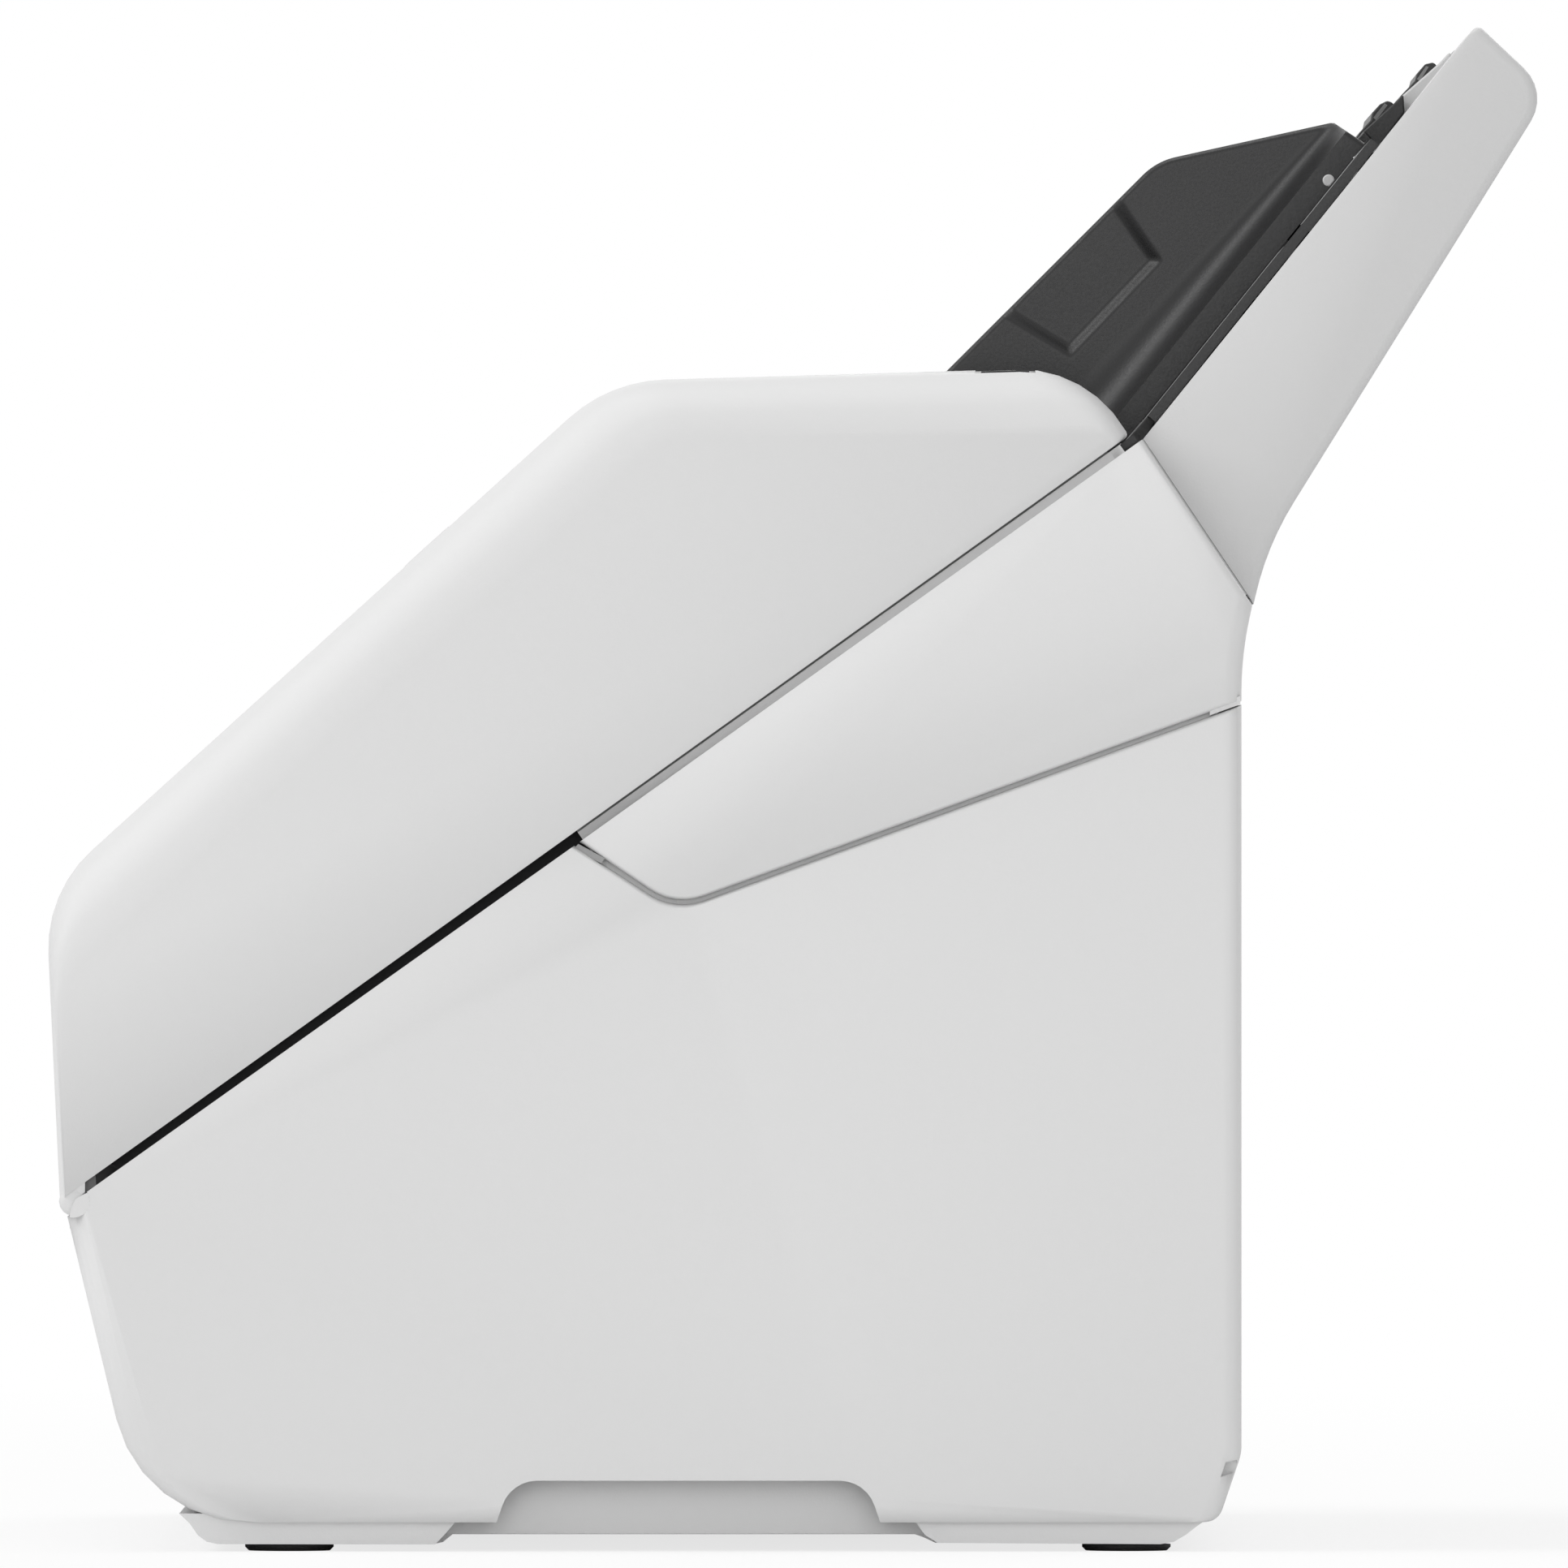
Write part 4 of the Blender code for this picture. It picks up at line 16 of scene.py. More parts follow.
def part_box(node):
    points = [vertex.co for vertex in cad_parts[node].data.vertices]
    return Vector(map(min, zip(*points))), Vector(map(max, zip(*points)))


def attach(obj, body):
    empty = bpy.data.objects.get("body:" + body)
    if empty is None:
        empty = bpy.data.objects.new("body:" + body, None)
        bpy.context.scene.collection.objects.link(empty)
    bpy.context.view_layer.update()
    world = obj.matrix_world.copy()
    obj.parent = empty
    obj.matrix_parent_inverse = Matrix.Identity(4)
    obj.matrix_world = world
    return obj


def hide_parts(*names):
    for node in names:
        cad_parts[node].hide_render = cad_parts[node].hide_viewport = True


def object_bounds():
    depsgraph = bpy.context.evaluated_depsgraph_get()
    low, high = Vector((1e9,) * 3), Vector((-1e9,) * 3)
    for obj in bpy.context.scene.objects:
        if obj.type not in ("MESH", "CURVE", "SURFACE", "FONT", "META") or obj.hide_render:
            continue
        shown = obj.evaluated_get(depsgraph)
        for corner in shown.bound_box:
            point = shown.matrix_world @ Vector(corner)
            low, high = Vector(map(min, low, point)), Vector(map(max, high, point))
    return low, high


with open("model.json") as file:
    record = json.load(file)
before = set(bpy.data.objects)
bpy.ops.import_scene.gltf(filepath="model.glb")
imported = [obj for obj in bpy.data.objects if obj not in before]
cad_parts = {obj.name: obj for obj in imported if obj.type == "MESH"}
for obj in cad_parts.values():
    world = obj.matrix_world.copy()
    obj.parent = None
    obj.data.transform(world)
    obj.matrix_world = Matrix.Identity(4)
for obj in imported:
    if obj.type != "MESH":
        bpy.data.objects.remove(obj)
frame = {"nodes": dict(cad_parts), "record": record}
CAD_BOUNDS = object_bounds()

bl_info = {
    "name": "Sheet-fed scanner",
    "version": (1, 0, 0),
    "blender": (4, 5, 0),
    "location": "3D View > Sidebar > Scanner",
    "description": "Dresses the packed scanner and its studio",
    "category": "Object",
}

# Colours, linear
CASE = (0.70, 0.70, 0.70)
TRAY = (0.62, 0.62, 0.62)
CHARCOAL = (0.012, 0.012, 0.0125)
# Painted shade and painted reflection: a mid grey for the recessed hinge blocks in shade and for the grips'
# inlays where a reflection shows
SHADE_AND_SHEEN = (0.20, 0.20, 0.20)
# Painted shade: a darker grey for case plastic that sits in the gaps, the seam strip and the step heads
GAP_SHADE = (0.33, 0.33, 0.33)
INNER = (0.020, 0.020, 0.021)
ACETAL = (0.72, 0.71, 0.67)
RUBBER = (0.022, 0.022, 0.022)
STEEL = (0.60, 0.60, 0.61)
DARK_GLASS = (0.012, 0.013, 0.015)
BOARD = (0.010, 0.085, 0.040)
BELT = (0.016, 0.016, 0.016)
FLOOR = (0.86, 0.86, 0.86)

# Meshes and the studio
WELD = 0.00001
SMOOTH_ANGLE = math.radians(32)
ROUND_STEPS = 8
PIXEL = 0.0001325
PHOTO_PIXELS = 1932
MIDDLE_PIXELS = (977.5, 1912)
CAMERA_DISTANCE = 6.0
CAMERA_CLIP = 100.0
SENSOR = 0.036
FLOOR_NEAR_SHARE = 0.75
FLOOR_FADE = 1.5
WORLD_STRENGTH = 0.565
LAMP_AIM = (0, 0, 0.12)
LAMPS = (
    ("side_lamp", (2.2, 0.1, 0.35), 1.6, 9.0), ("key_lamp", (0.45, -1.35, 1.20), 0.7, 8.5),
    ("low_lamp", (1.6, -0.2, 0.02), 0.9, 2.6), ("fill_lamp", (-1.8, 0.8, 1.0), 1.4, 12.0),
    ("top_lamp", (0.1, -0.3, 1.9), 0.9, 8.0),
)

# Places in the side view, as (y, z)
TRAY_FOOT = (0.057319, 0.181836)
TRAY_TOP = (0.112014, 0.249800)
PARTING_LINE = ((0.056903, 0.181558), (0.073900, 0.156150))
HINGE = (-0.117530, 0.057208)
SEAM_TIP = (0.055660, 0.181100)

# The side guides, as (along the tray, off it, corner radius), and their walls
GUIDE_FACE = 0.1083
GUIDE_CORNERS = (
    (-0.0025, 0.0021, 0.0), (0.0609, 0.0021, 0.0), (0.0606, 0.0082, 0.0015), (0.0373, 0.0269, 0.0110),
    (-0.0124, 0.0323, 0.0), (-0.0135, 0.0260, 0.0),
)
GUIDE_CELL = 0.0004
GUIDE_WALL = 0.0040
GUIDE_RIDGE = 0.0058
GUIDE_FLARE = 0.0071
FLARE_TURN = math.radians(80)
FLARE_RISE = (0.0085, 0.0032)
RIM_ROUND = 0.0009
POCKET = ((0.0009, 0.0340), (0.0031, 0.0175), (0.0253, 0.0156), (0.0300, 0.0313))
POCKET_DEPTH = 0.0016
POCKET_LEDGE = 0.0022
GUIDE_CUT = 0.00212
PIN_PLACE = (0.0524, 0.0029)
PIN_RADIUS = 0.00098
PIN_SINK = 0.0005
PIN_RISE = 0.0003
PIN_SIDES = 24

# The base's fillings: side outlines as (y, z), spans along a line, rises off it, reaches in x
PARTING_RISE = (-0.00045, 0.00045)
PARTING_REACH = (0.1325, 0.1376)
STEP_FILL = ((0.06800, 0.13790), (0.07300, 0.13975), (0.07300, 0.13835), (0.06800, 0.13655))
STEP_FILL_REACH = 0.1540
STEP_HEAD = ((-0.03595, 0.11470), (-0.03510, 0.11555), (-0.03080, 0.11325), (-0.03130, 0.11235))
STEP_HEAD_REACH = (0.1500, 0.1540)
SEAM_SPAN = (0.1020, 0.2085)
SEAM_RISE = (0.0008, 0.0032)
SEAM_REACH = (0.15195, 0.15230)
CHEEK_RADIUS = 0.00268
CHEEK_SWEEP = (math.radians(-104), math.radians(32))
CHEEK_STEPS = 16
CHEEK_BACK = ((0.00033, 0.00043), (-0.00046, -0.00130))
CHEEK_REACH = (0.15466, 0.15497)
HINGE_BLOCK = (
    (-0.11610, 0.05960), (-0.11550, 0.06135), (-0.11400, 0.06148), (-0.11385, 0.05975),
    (-0.11545, 0.05850),
)
HINGE_BLOCK_REACH = (0.1500, 0.1522)
PAN_MIDDLE = (
    (-0.1003, 0.0062), (-0.0986, 0.0046), (-0.0972, 0.0026), (-0.0958, 0.0016), (-0.0940, 0.0012),
    (-0.0585, 0.00115), (-0.0573, 0.0014), (-0.0557, 0.0027), (0.0199, 0.0027), (0.0215, 0.0021),
    (0.0232, 0.0013), (0.0600, 0.0012), (0.0622, 0.0016), (0.0642, 0.0028), (0.0660, 0.0042),
    (0.0680, 0.0056), (0.0676, 0.0062),
)
PAN_FRONT = PAN_MIDDLE[:6] + ((-0.0573, 0.0024), (-0.0551, 0.0049), (-0.0549, 0.0062))
PAN_REAR = ((0.0196, 0.0062), (0.0198, 0.0050), (0.0215, 0.0027), (0.0236, 0.0014)) + PAN_MIDDLE[11:]
PAN_REACH = 0.1529
WELL_PANEL = ((-0.0570, 0.0028), (0.0212, 0.0028), (0.0212, 0.0128), (-0.0570, 0.0128))
WELL_REACH = (0.1458, 0.1474)

# The hatch's lug at the hinge
LUG = (
    (-0.11825, 0.05949), (-0.11521, 0.06135), (-0.11567, 0.06055), (-0.11567, 0.05870),
    (-0.11720, 0.05764), (-0.11799, 0.05592), (-0.11850, 0.05610),
)
LUG_REACH = (0.1530, 0.15445)

# The tray's bed, and each extension's grip with its inlay and the plate's lip
BED_LIP = (
    (0.05963, 0.18503), (0.05842, 0.18600), (0.05525, 0.18238), (0.05373, 0.18094),
    (0.05250, 0.18010), (0.05330, 0.17900), (0.05440, 0.17930), (0.05700, 0.18097),
)
BED_LIP_REACH = 0.1225
BED_RIBS = (-0.0220, -0.0140, 0.0140, 0.0220)
BED_RIB_WALL = 0.0008
BED_RIB_SPAN = (0.0040, 0.0600)
BED_RIB_RISE = (0.0016, 0.00235)
GRIP_LOWER = (
    (0.0940, 0.2335), (0.0960, 0.2357), (0.0963, 0.2370), (0.0976, 0.2384), (0.0988, 0.2390),
    (0.0997, 0.2387), (0.0999, 0.2382), (0.0973, 0.2346), (0.0957, 0.2332), (0.0944, 0.2331),
)
GRIP_UPPER = (
    (0.1012, 0.2400), (0.1036, 0.2425), (0.1039, 0.2436), (0.1053, 0.2453), (0.1066, 0.2456),
    (0.1071, 0.2453), (0.1073, 0.2448), (0.1044, 0.2422), (0.1018, 0.2393), (0.1012, 0.2396),
)
INLAY_LOWER = ((0.09650, 0.23620), (0.09838, 0.23856), (0.09886, 0.23824), (0.09696, 0.23574))
INLAY_UPPER = ((0.10395, 0.24280), (0.10546, 0.24500), (0.10593, 0.24486), (0.10446, 0.24250))
INLAY_INSET = 0.0015
INLAY_RISE = 0.00015
LIP_LOWER = ((0.0941, 0.2331), (0.0998, 0.2383), (0.1008, 0.2392), (0.1010, 0.2362), (0.09666, 0.2304))
LIP_UPPER = (
    (0.0993, 0.2376), (0.1012, 0.2397), (0.1071, 0.2449), (0.1086, 0.2465), (0.1091, 0.2468),
    (0.1092, 0.2458), (0.1010, 0.2352),
)
GRIPS = (
    ("lower", GRIP_LOWER, 0.042, INLAY_LOWER, LIP_LOWER, 0.085, "dark"),
    ("upper", GRIP_UPPER, 0.030, INLAY_UPPER, LIP_UPPER, 0.055, "tray"),
)
GRIP_EDGE = 0.0004
LIP_EDGE = 0.0003
FINE_EDGE = 0.0002

# What repeats: the tyres' treads, the screws under the pan and the parts on the board
TREADS = (
    ("pick_tyre", 44), ("feed_tyre_left", 38), ("feed_tyre_right", 38), ("exit_tyre_left", 34),
    ("exit_tyre_right", 34),
)
TREAD_GROOVE = 0.0005
TREAD_SIDES = 64
TREAD_RIB_WIDTH = 3.4
TREAD_RIB_DEPTH = 1.9
SCREWS = {
    "Across": 3, "Along": 2, "Width": 0.250, "Depth": 0.060, "Radius": 0.0028,
    "Middle": (0.0, -0.0180, 0.00255),
}
SCREW_SIDES = 20
SCREW_TAPER = 0.8
SCREW_RISE = 0.0007
BOARD_PARTS = {
    "Across": 9, "Up": 5, "Width": 0.150, "Height": 0.064, "Seed": 11, "Middle": (0.0, 0.0607, 0.0590),
}
BOARD_PART_SIZE = (0.013, 0.010, 0.0024)
BOARD_PART_SHARES = ((0.25, 0.25, 0.5), (1.0, 1.0, 1.0))

# Nodes by group, each with its finish and the record's slot
OUTER_CASE = (("main_case", "case"), ("rear_upper_cover", "case"), ("output_stop", "case"))
HATCH_SHELL = (
    ("hatch_cover", "case"), ("hatch_catch", "dark"), ("panel_bezel", "dark"), ("display", "bar_glass"),
    ("scan_button", "case"), ("power_button", "case"),
)
PAPER_TRAY = (
    ("input_tray", "tray"), ("tray_bed", "dark"), ("extension_lower", "tray"),
    ("extension_upper", "tray"), ("output_tray", "dark"),
)
SIDE_GUIDES = (("guide_pinion", "gear"),)
PAPER_PATH = (
    ("base_frame", "inner"), ("hatch_guide", "inner"), ("lower_scan_bar", "inner"),
    ("upper_scan_bar", "inner"), ("lower_scan_glass", "bar_glass"), ("upper_scan_glass", "bar_glass"),
)
ROLLERS = (
    ("pick_shaft", "steel"), ("feed_shaft", "steel"), ("exit_shaft", "steel"),
    ("separation_axle", "steel"), ("separation_roller", "rubber"),
    ("feed_pinch_roller", "inner"), ("exit_pinch_roller", "inner"),
)
DRIVE = (
    ("feed_gear", "gear"), ("idler_gear", "gear"), ("motor_pinion", "gear"), ("pick_pulley", "gear"),
    ("feed_pulley", "gear"), ("exit_pulley", "gear"), ("drive_belt", "belt"), ("motor", "steel"),
)
FITTINGS = (
    ("foot_front_left", "rubber"), ("foot_front_right", "rubber"), ("foot_rear_left", "rubber"),
    ("foot_rear_right", "rubber"), ("dc_socket", "inner"), ("usb_socket", "inner"),
    ("main_board", "board"), ("hinge_pin_left", "steel"), ("hinge_pin_right", "steel"),
)


class Value:
    """A shader socket that takes part in plain arithmetic."""

    def __init__(self, tree, socket):
        self.tree = tree
        self.socket = socket

    def maths(self, operation, first, second=None):
        made = self.tree.nodes.new("ShaderNodeMath")
        made.operation = operation
        for slot, given in enumerate((first, second)):
            if isinstance(given, Value):
                self.tree.links.new(given.socket, made.inputs[slot])
            elif given is not None:
                made.inputs[slot].default_value = given
        return Value(self.tree, made.outputs[0])

    def __add__(self, other):
        return self.maths("ADD", self, other)

    __radd__ = __add__

    def __sub__(self, other):
        return self.maths("SUBTRACT", self, other)

    def __mul__(self, other):
        return self.maths("MULTIPLY", self, other)

    def clipped(self):
        return self.maths("MINIMUM", self.maths("MAXIMUM", self, 0.0), 1.0)


class Finish:
    """A material under construction, with its Principled shader at hand."""

    def __init__(self, name):
        self.material = bpy.data.materials.new(name)
        self.material.use_nodes = True
        self.tree = self.material.node_tree
        self.shader = self.tree.nodes["Principled BSDF"]
        place = self.tree.nodes.new("ShaderNodeTexCoord")
        self.place = Value(self.tree, place.outputs["Object"])

    def node(self, kind, settings=None, output=0, **inputs):
        """Adds a node, sets it up, then fills its sockets with values or links."""
        made = self.tree.nodes.new("ShaderNode" + kind)
        for key, given in (settings or {}).items():
            setattr(made, key, given)
        for key, given in inputs.items():
            socket = made.inputs[int(key[1:])] if key[0] == "_" else made.inputs[key.replace("_", " ")]
            self.fill(socket, given)
        return Value(self.tree, made.outputs[output])

    def fill(self, socket, given):
        if isinstance(given, Value):
            self.tree.links.new(given.socket, socket)
        else:
            socket.default_value = given

    def noise(self, scale, detail=2.0, roughness=0.5):
        return self.node("TexNoise", Vector=self.place, Scale=scale, Detail=detail, Roughness=roughness)

    def mix(self, factor, first, second):
        """Mixes two colours."""
        return self.node("Mix", {"data_type": "RGBA"}, 2, _0=factor, _6=(*first, 1), _7=(*second, 1))

    def bump(self, height, distance, strength):
        return self.node("Bump", Height=height, Distance=distance, Strength=strength)

    def set(self, **inputs):
        for key, given in inputs.items():
            self.fill(self.shader.inputs[key.replace("_", " ")], given)


def shade(colour, share):
    return tuple(channel * share for channel in colour)


def moulded(name, colour, roughness, grain, depth, contrast):
    """Moulded plastic with a fine spark-eroded grain and the faintest cloudiness of tone."""
    finish = Finish(name)
    cloud = finish.noise(9.0, 3.0)
    speck = finish.noise(grain, 2.0)
    tone = ((cloud - 0.5) * 1.2 + 0.5).clipped()
    finish.set(
        Base_Color=finish.mix(tone, shade(colour, 1 - contrast), shade(colour, 1 + contrast)),
        Roughness=(speck - 0.5) * 0.16 + roughness,
        Normal=finish.bump(speck, depth, 0.35),
        Specular_IOR_Level=0.4,
    )
    return finish.material


def case_finish():
    return moulded("case_plastic", colours().case, roughness=0.52, grain=2600.0, depth=0.00006,
                   contrast=0.008)


def tray_finish():
    return moulded("tray_plastic", colours().tray, roughness=0.52, grain=2600.0, depth=0.00006,
                   contrast=0.008)


def dark_finish():
    return moulded("charcoal_plastic", colours().charcoal, roughness=0.40, grain=2200.0, depth=0.00008,
                   contrast=0.05)


def inner_finish():
    return moulded("inner_plastic", INNER, roughness=0.5, grain=1800.0, depth=0.00008, contrast=0.08)


def gear_finish():
    return moulded("acetal", ACETAL, roughness=0.36, grain=900.0, depth=0.00003, contrast=0.03)


# Painted shade on the hinge blocks and a painted reflection on the grips' inlays, not a plastic of its own
# colour
def shade_and_sheen_finish():
    return moulded("painted_shade_and_sheen_plastic", SHADE_AND_SHEEN, roughness=0.45, grain=2600.0, depth=0.00006, contrast=0.02)


# Painted shade for the seam strip and the step heads: case plastic darkened where the gap shades it
def gap_shade_finish():
    return moulded("painted_gap_shade", GAP_SHADE, roughness=0.52, grain=2600.0, depth=0.00006, contrast=0.01)


def rubber_finish():
    """Matte rubber with a little bloom."""
    finish = Finish("roller_rubber")
    bloom = finish.noise(260.0, 4.0, 0.6)
    grit = finish.noise(4200.0)
    finish.set(
        Base_Color=finish.mix(bloom, shade(RUBBER, 0.8), shade(RUBBER, 1.6)),
        Roughness=(bloom - 0.5) * 0.2 + 0.82,
        Normal=finish.bump(grit, 0.00008, 0.4),
    )
    return finish.material


def belt_finish():
    finish = Finish("belt_rubber")
    fibre = finish.noise(1500.0, 3.0)
    finish.set(
        Base_Color=finish.mix(fibre, shade(BELT, 0.8), shade(BELT, 1.5)),
        Roughness=(fibre - 0.5) * 0.2 + 0.66,
        Normal=finish.bump(fibre, 0.00006, 0.3),
    )
    return finish.material


def steel_finish():
    """Ground steel with fine rings round its axis."""
    finish = Finish("ground_steel")
    along = finish.node("Mapping", Vector=finish.place, Scale=(2600.0, 40.0, 40.0))
    rings = finish.node("TexNoise", Vector=along, Scale=1.0, Detail=3.0)
    finish.set(
        Base_Color=finish.mix(rings, shade(STEEL, 0.9), shade(STEEL, 1.1)),
        Metallic=1.0,
        Roughness=(rings - 0.5) * 0.2 + 0.3,
        Normal=finish.bump(rings, 0.00002, 0.2),
    )
    return finish.material


def glass_finish():
    """Polished dark glass with the slightest haze from wiping."""
    finish = Finish("dark_glass")
    haze = finish.noise(60.0, 4.0)
    finish.set(
        Base_Color=finish.mix(haze, DARK_GLASS, shade(DARK_GLASS, 1.4)),
        Roughness=(haze - 0.5) * 0.06 + 0.08,
        Coat_Weight=0.6,
    )
    return finish.material


def board_finish():
    """Green lacquer over fine copper tracks."""
    finish = Finish("board_lacquer")
    tracks = finish.node("TexBrick", {"offset": 0.37}, 1, Vector=finish.place, Scale=110.0,
                         Mortar_Size=0.012, Mortar_Smooth=0.1, Brick_Width=0.9, Row_Height=0.16)
    finish.set(
        Base_Color=finish.mix(tracks, BOARD, shade(BOARD, 2.2)),
        Roughness=0.38,
        Normal=finish.bump(tracks, 0.00004, 0.4),
    )
    return finish.material


FINISHES = {
    "case": case_finish, "tray": tray_finish, "dark": dark_finish, "inner": inner_finish,
    "gear": gear_finish, "rubber": rubber_finish, "belt": belt_finish, "steel": steel_finish,
    "bar_glass": glass_finish, "board": board_finish, "shade": shade_and_sheen_finish, "gap_shade": gap_shade_finish,
}
MADE = {}


def finish_of(name):
    """The material of a finish, made once."""
    if name not in MADE:
        MADE[name] = FINISHES[name]()
    return MADE[name]


def colours():
    return bpy.context.scene.scanner_colours


def new_object(name, mesh):
    made = bpy.data.objects.new(name, mesh)
    bpy.context.scene.collection.objects.link(made)
    return made


def body_of(node):
    for body, nodes in frame["record"]["behaviour"]["bodies"].items():
        if node in nodes:
            return body
    raise RuntimeError("no body holds " + node)


def join_body(piece, body, slot, finish=None):
    """Gives a finished piece its material, from its finish or else from its slot's name, and its body."""
    piece.data.materials.clear()
    piece.data.materials.append(finish_of(finish or slot))
    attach(piece, body)


def dress(node, slot):
    """Puts a welded, smoothly shaded copy in a node's place."""
    shell = bmesh.new()
    shell.from_mesh(frame["nodes"][node].data)
    bmesh.ops.remove_doubles(shell, verts=shell.verts, dist=WELD)
    mesh = bpy.data.meshes.new(node + "_dressed")
    shell.to_mesh(mesh)
    shell.free()
    mesh.shade_smooth()
    mesh.set_sharp_from_angle(angle=SMOOTH_ANGLE)
    piece = new_object(node + "_dressed", mesh)
    join_body(piece, body_of(node), slot)
    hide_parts(node)


class Line:
    """A straight line of the side view, with places given along it and off it."""

    def __init__(self, start, end):
        self.start = Vector(start)
        self.along = (Vector(end) - self.start).normalized()
        self.off = Vector((-self.along.y, self.along.x))

    def at(self, along, off):
        return self.start + self.along * along + self.off * off

    def strip(self, span, rise):
        """The ring of a straight strip along the line."""
        (first, last), (low, high) = span, rise
        return [self.at(first, low), self.at(last, low), self.at(last, high), self.at(first, high)]


TRAY_LINE = Line(TRAY_FOOT, TRAY_TOP)
SEAM_LINE = Line(HINGE, SEAM_TIP)


def rounded(corners):
    """A ring of places from corners that each have a radius."""
    ring = []
    for index, (x, y, radius) in enumerate(corners):
        here = Vector((x, y))
        if not radius:
            ring.append(here)
            continue
        back = (Vector(corners[index - 1][:2]) - here).normalized()
        ahead = (Vector(corners[(index + 1) % len(corners)][:2]) - here).normalized()
        half = back.angle(ahead) / 2
        first, last = (here + way * (radius / math.tan(half)) for way in (back, ahead))
        middle = here + (back + ahead).normalized() * (radius / math.sin(half))
        sweep = (first - middle).angle_signed(last - middle)
        for step in range(ROUND_STEPS + 1):
            turned = first - middle
            turned.rotate(Matrix.Rotation(-sweep * step / ROUND_STEPS, 2))
            ring.append(middle + turned)
    return ring


def prism(ring, first, last):
    """A straight bar across the scanner, with its outline given in the side view."""
    solid = bmesh.new()
    ends = [[solid.verts.new((x, *place)) for place in ring] for x in (first, last)]
    solid.faces.new(ends[0])
    solid.faces.new(reversed(ends[1]))
    for index in range(len(ring)):
        after = (index + 1) % len(ring)
        solid.faces.new((ends[0][index], ends[1][index], ends[1][after], ends[0][after]))
    bmesh.ops.recalc_face_normals(solid, faces=solid.faces)
    return solid


def both_sides(ring, reach):
    """The same bar on the right and on the left."""
    inner, outer = reach
    return [prism(ring, inner, outer), prism(ring, -outer, -inner)]


def make_piece(name, solids, body, slot, nodes=(), edge=0.0, finish=None):
    """Joins solids into one piece on a body, with softened edges where asked."""
    joined = bmesh.new()
    for solid in solids:
        loose = bpy.data.meshes.new(name + "_loose")
        solid.to_mesh(loose)
        solid.free()
        joined.from_mesh(loose)
        bpy.data.meshes.remove(loose)
    mesh = bpy.data.meshes.new(name)
    joined.to_mesh(mesh)
    joined.free()
    mesh.shade_smooth()
    mesh.set_sharp_from_angle(angle=SMOOTH_ANGLE)
    piece = new_object(name, mesh)
    if edge:
        soft = piece.modifiers.new("edge", "BEVEL")
        soft.width = edge
        soft.segments = 2
        soft.limit_method = "ANGLE"
        soft.angle_limit = SMOOTH_ANGLE
    join_body(piece, body, slot, finish)
    if nodes:
        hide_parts(*nodes)


def cheek_ring():
    """The outline of the cheek that closes the gap round the hinge's knuckle."""
    middle = Vector(HINGE)
    first, last = CHEEK_SWEEP
    turns = [first + (last - first) * step / CHEEK_STEPS for step in range(CHEEK_STEPS + 1)]
    ring = [middle + Vector((math.cos(turn), math.sin(turn))) * CHEEK_RADIUS for turn in turns]
    return ring + [middle + Vector(place) for place in CHEEK_BACK]


def dress_all(group):
    for node, slot in group:
        dress(node, slot)


class ScannerColours(bpy.types.PropertyGroup):
    case: bpy.props.FloatVectorProperty(
        name="Case", description="Colour of the case and the hatch", subtype="COLOR",
        default=CASE, min=0.0, max=1.0)
    tray: bpy.props.FloatVectorProperty(
        name="Tray", description="Colour of the paper tray", subtype="COLOR",
        default=TRAY, min=0.0, max=1.0)
    charcoal: bpy.props.FloatVectorProperty(
        name="Guides", description="Colour of the side guides and the grips", subtype="COLOR",
        default=CHARCOAL, min=0.0, max=1.0)


class ScannerSizes(bpy.types.PropertyGroup):
    floor_reach: bpy.props.FloatProperty(
        name="Floor", description="Half the width of the floor", unit="LENGTH", default=8.0)


class SCANNER_OT_outer_case(bpy.types.Operator):
    """Dresses the base's case, its rear cover and the front flap, and shapes the bottom pan"""
    bl_idname = "scanner.outer_case"
    bl_label = "Outer case"

    def execute(self, context):
        well = sum(WELL_REACH) / 2
        pan = [prism(PAN_MIDDLE, -well, well)]
        for ring in (PAN_FRONT, PAN_REAR):
            pan += both_sides(ring, (well, PAN_REACH))
        pan += both_sides(WELL_PANEL, WELL_REACH)
        make_piece("bottom_pan_shell", pan, "base", "case", nodes=("bottom_pan",))
        parting = Line(*PARTING_LINE)
        reach = (Vector(PARTING_LINE[1]) - Vector(PARTING_LINE[0])).length
        strip = parting.strip((0, reach), PARTING_RISE)
        make_piece("parting_strip", both_sides(strip, PARTING_REACH), "base", "case")
        make_piece("step_strip", [prism(STEP_FILL, -STEP_FILL_REACH, STEP_FILL_REACH)], "base", "case")
        # Painted shade: the step heads are darkened case plastic
        make_piece("step_heads", both_sides(STEP_HEAD, STEP_HEAD_REACH), "base", "case", finish="gap_shade")
        strip = SEAM_LINE.strip(SEAM_SPAN, SEAM_RISE)
        # Painted shade: the seam strip is case plastic darkened to stand for the shadow in the gap
        make_piece("seam_strip", both_sides(strip, SEAM_REACH), "base", "case", finish="gap_shade")
        make_piece("hinge_cheeks", both_sides(cheek_ring(), CHEEK_REACH), "base", "case")
        # Painted shade: the recessed hinge blocks get a mid grey in place of the case's colour
        make_piece("hinge_blocks", both_sides(HINGE_BLOCK, HINGE_BLOCK_REACH), "base", "case",
                   finish="shade")
        dress_all(OUTER_CASE)
        return {"FINISHED"}


class SCANNER_OT_hatch_shell(bpy.types.Operator):
    """Dresses the hatch with its catch and its control panel"""
    bl_idname = "scanner.hatch_shell"
    bl_label = "Hatch"

    def execute(self, context):
        make_piece("hatch_lugs", both_sides(LUG, LUG_REACH), "hatch", "case")
        dress_all(HATCH_SHELL)
        return {"FINISHED"}


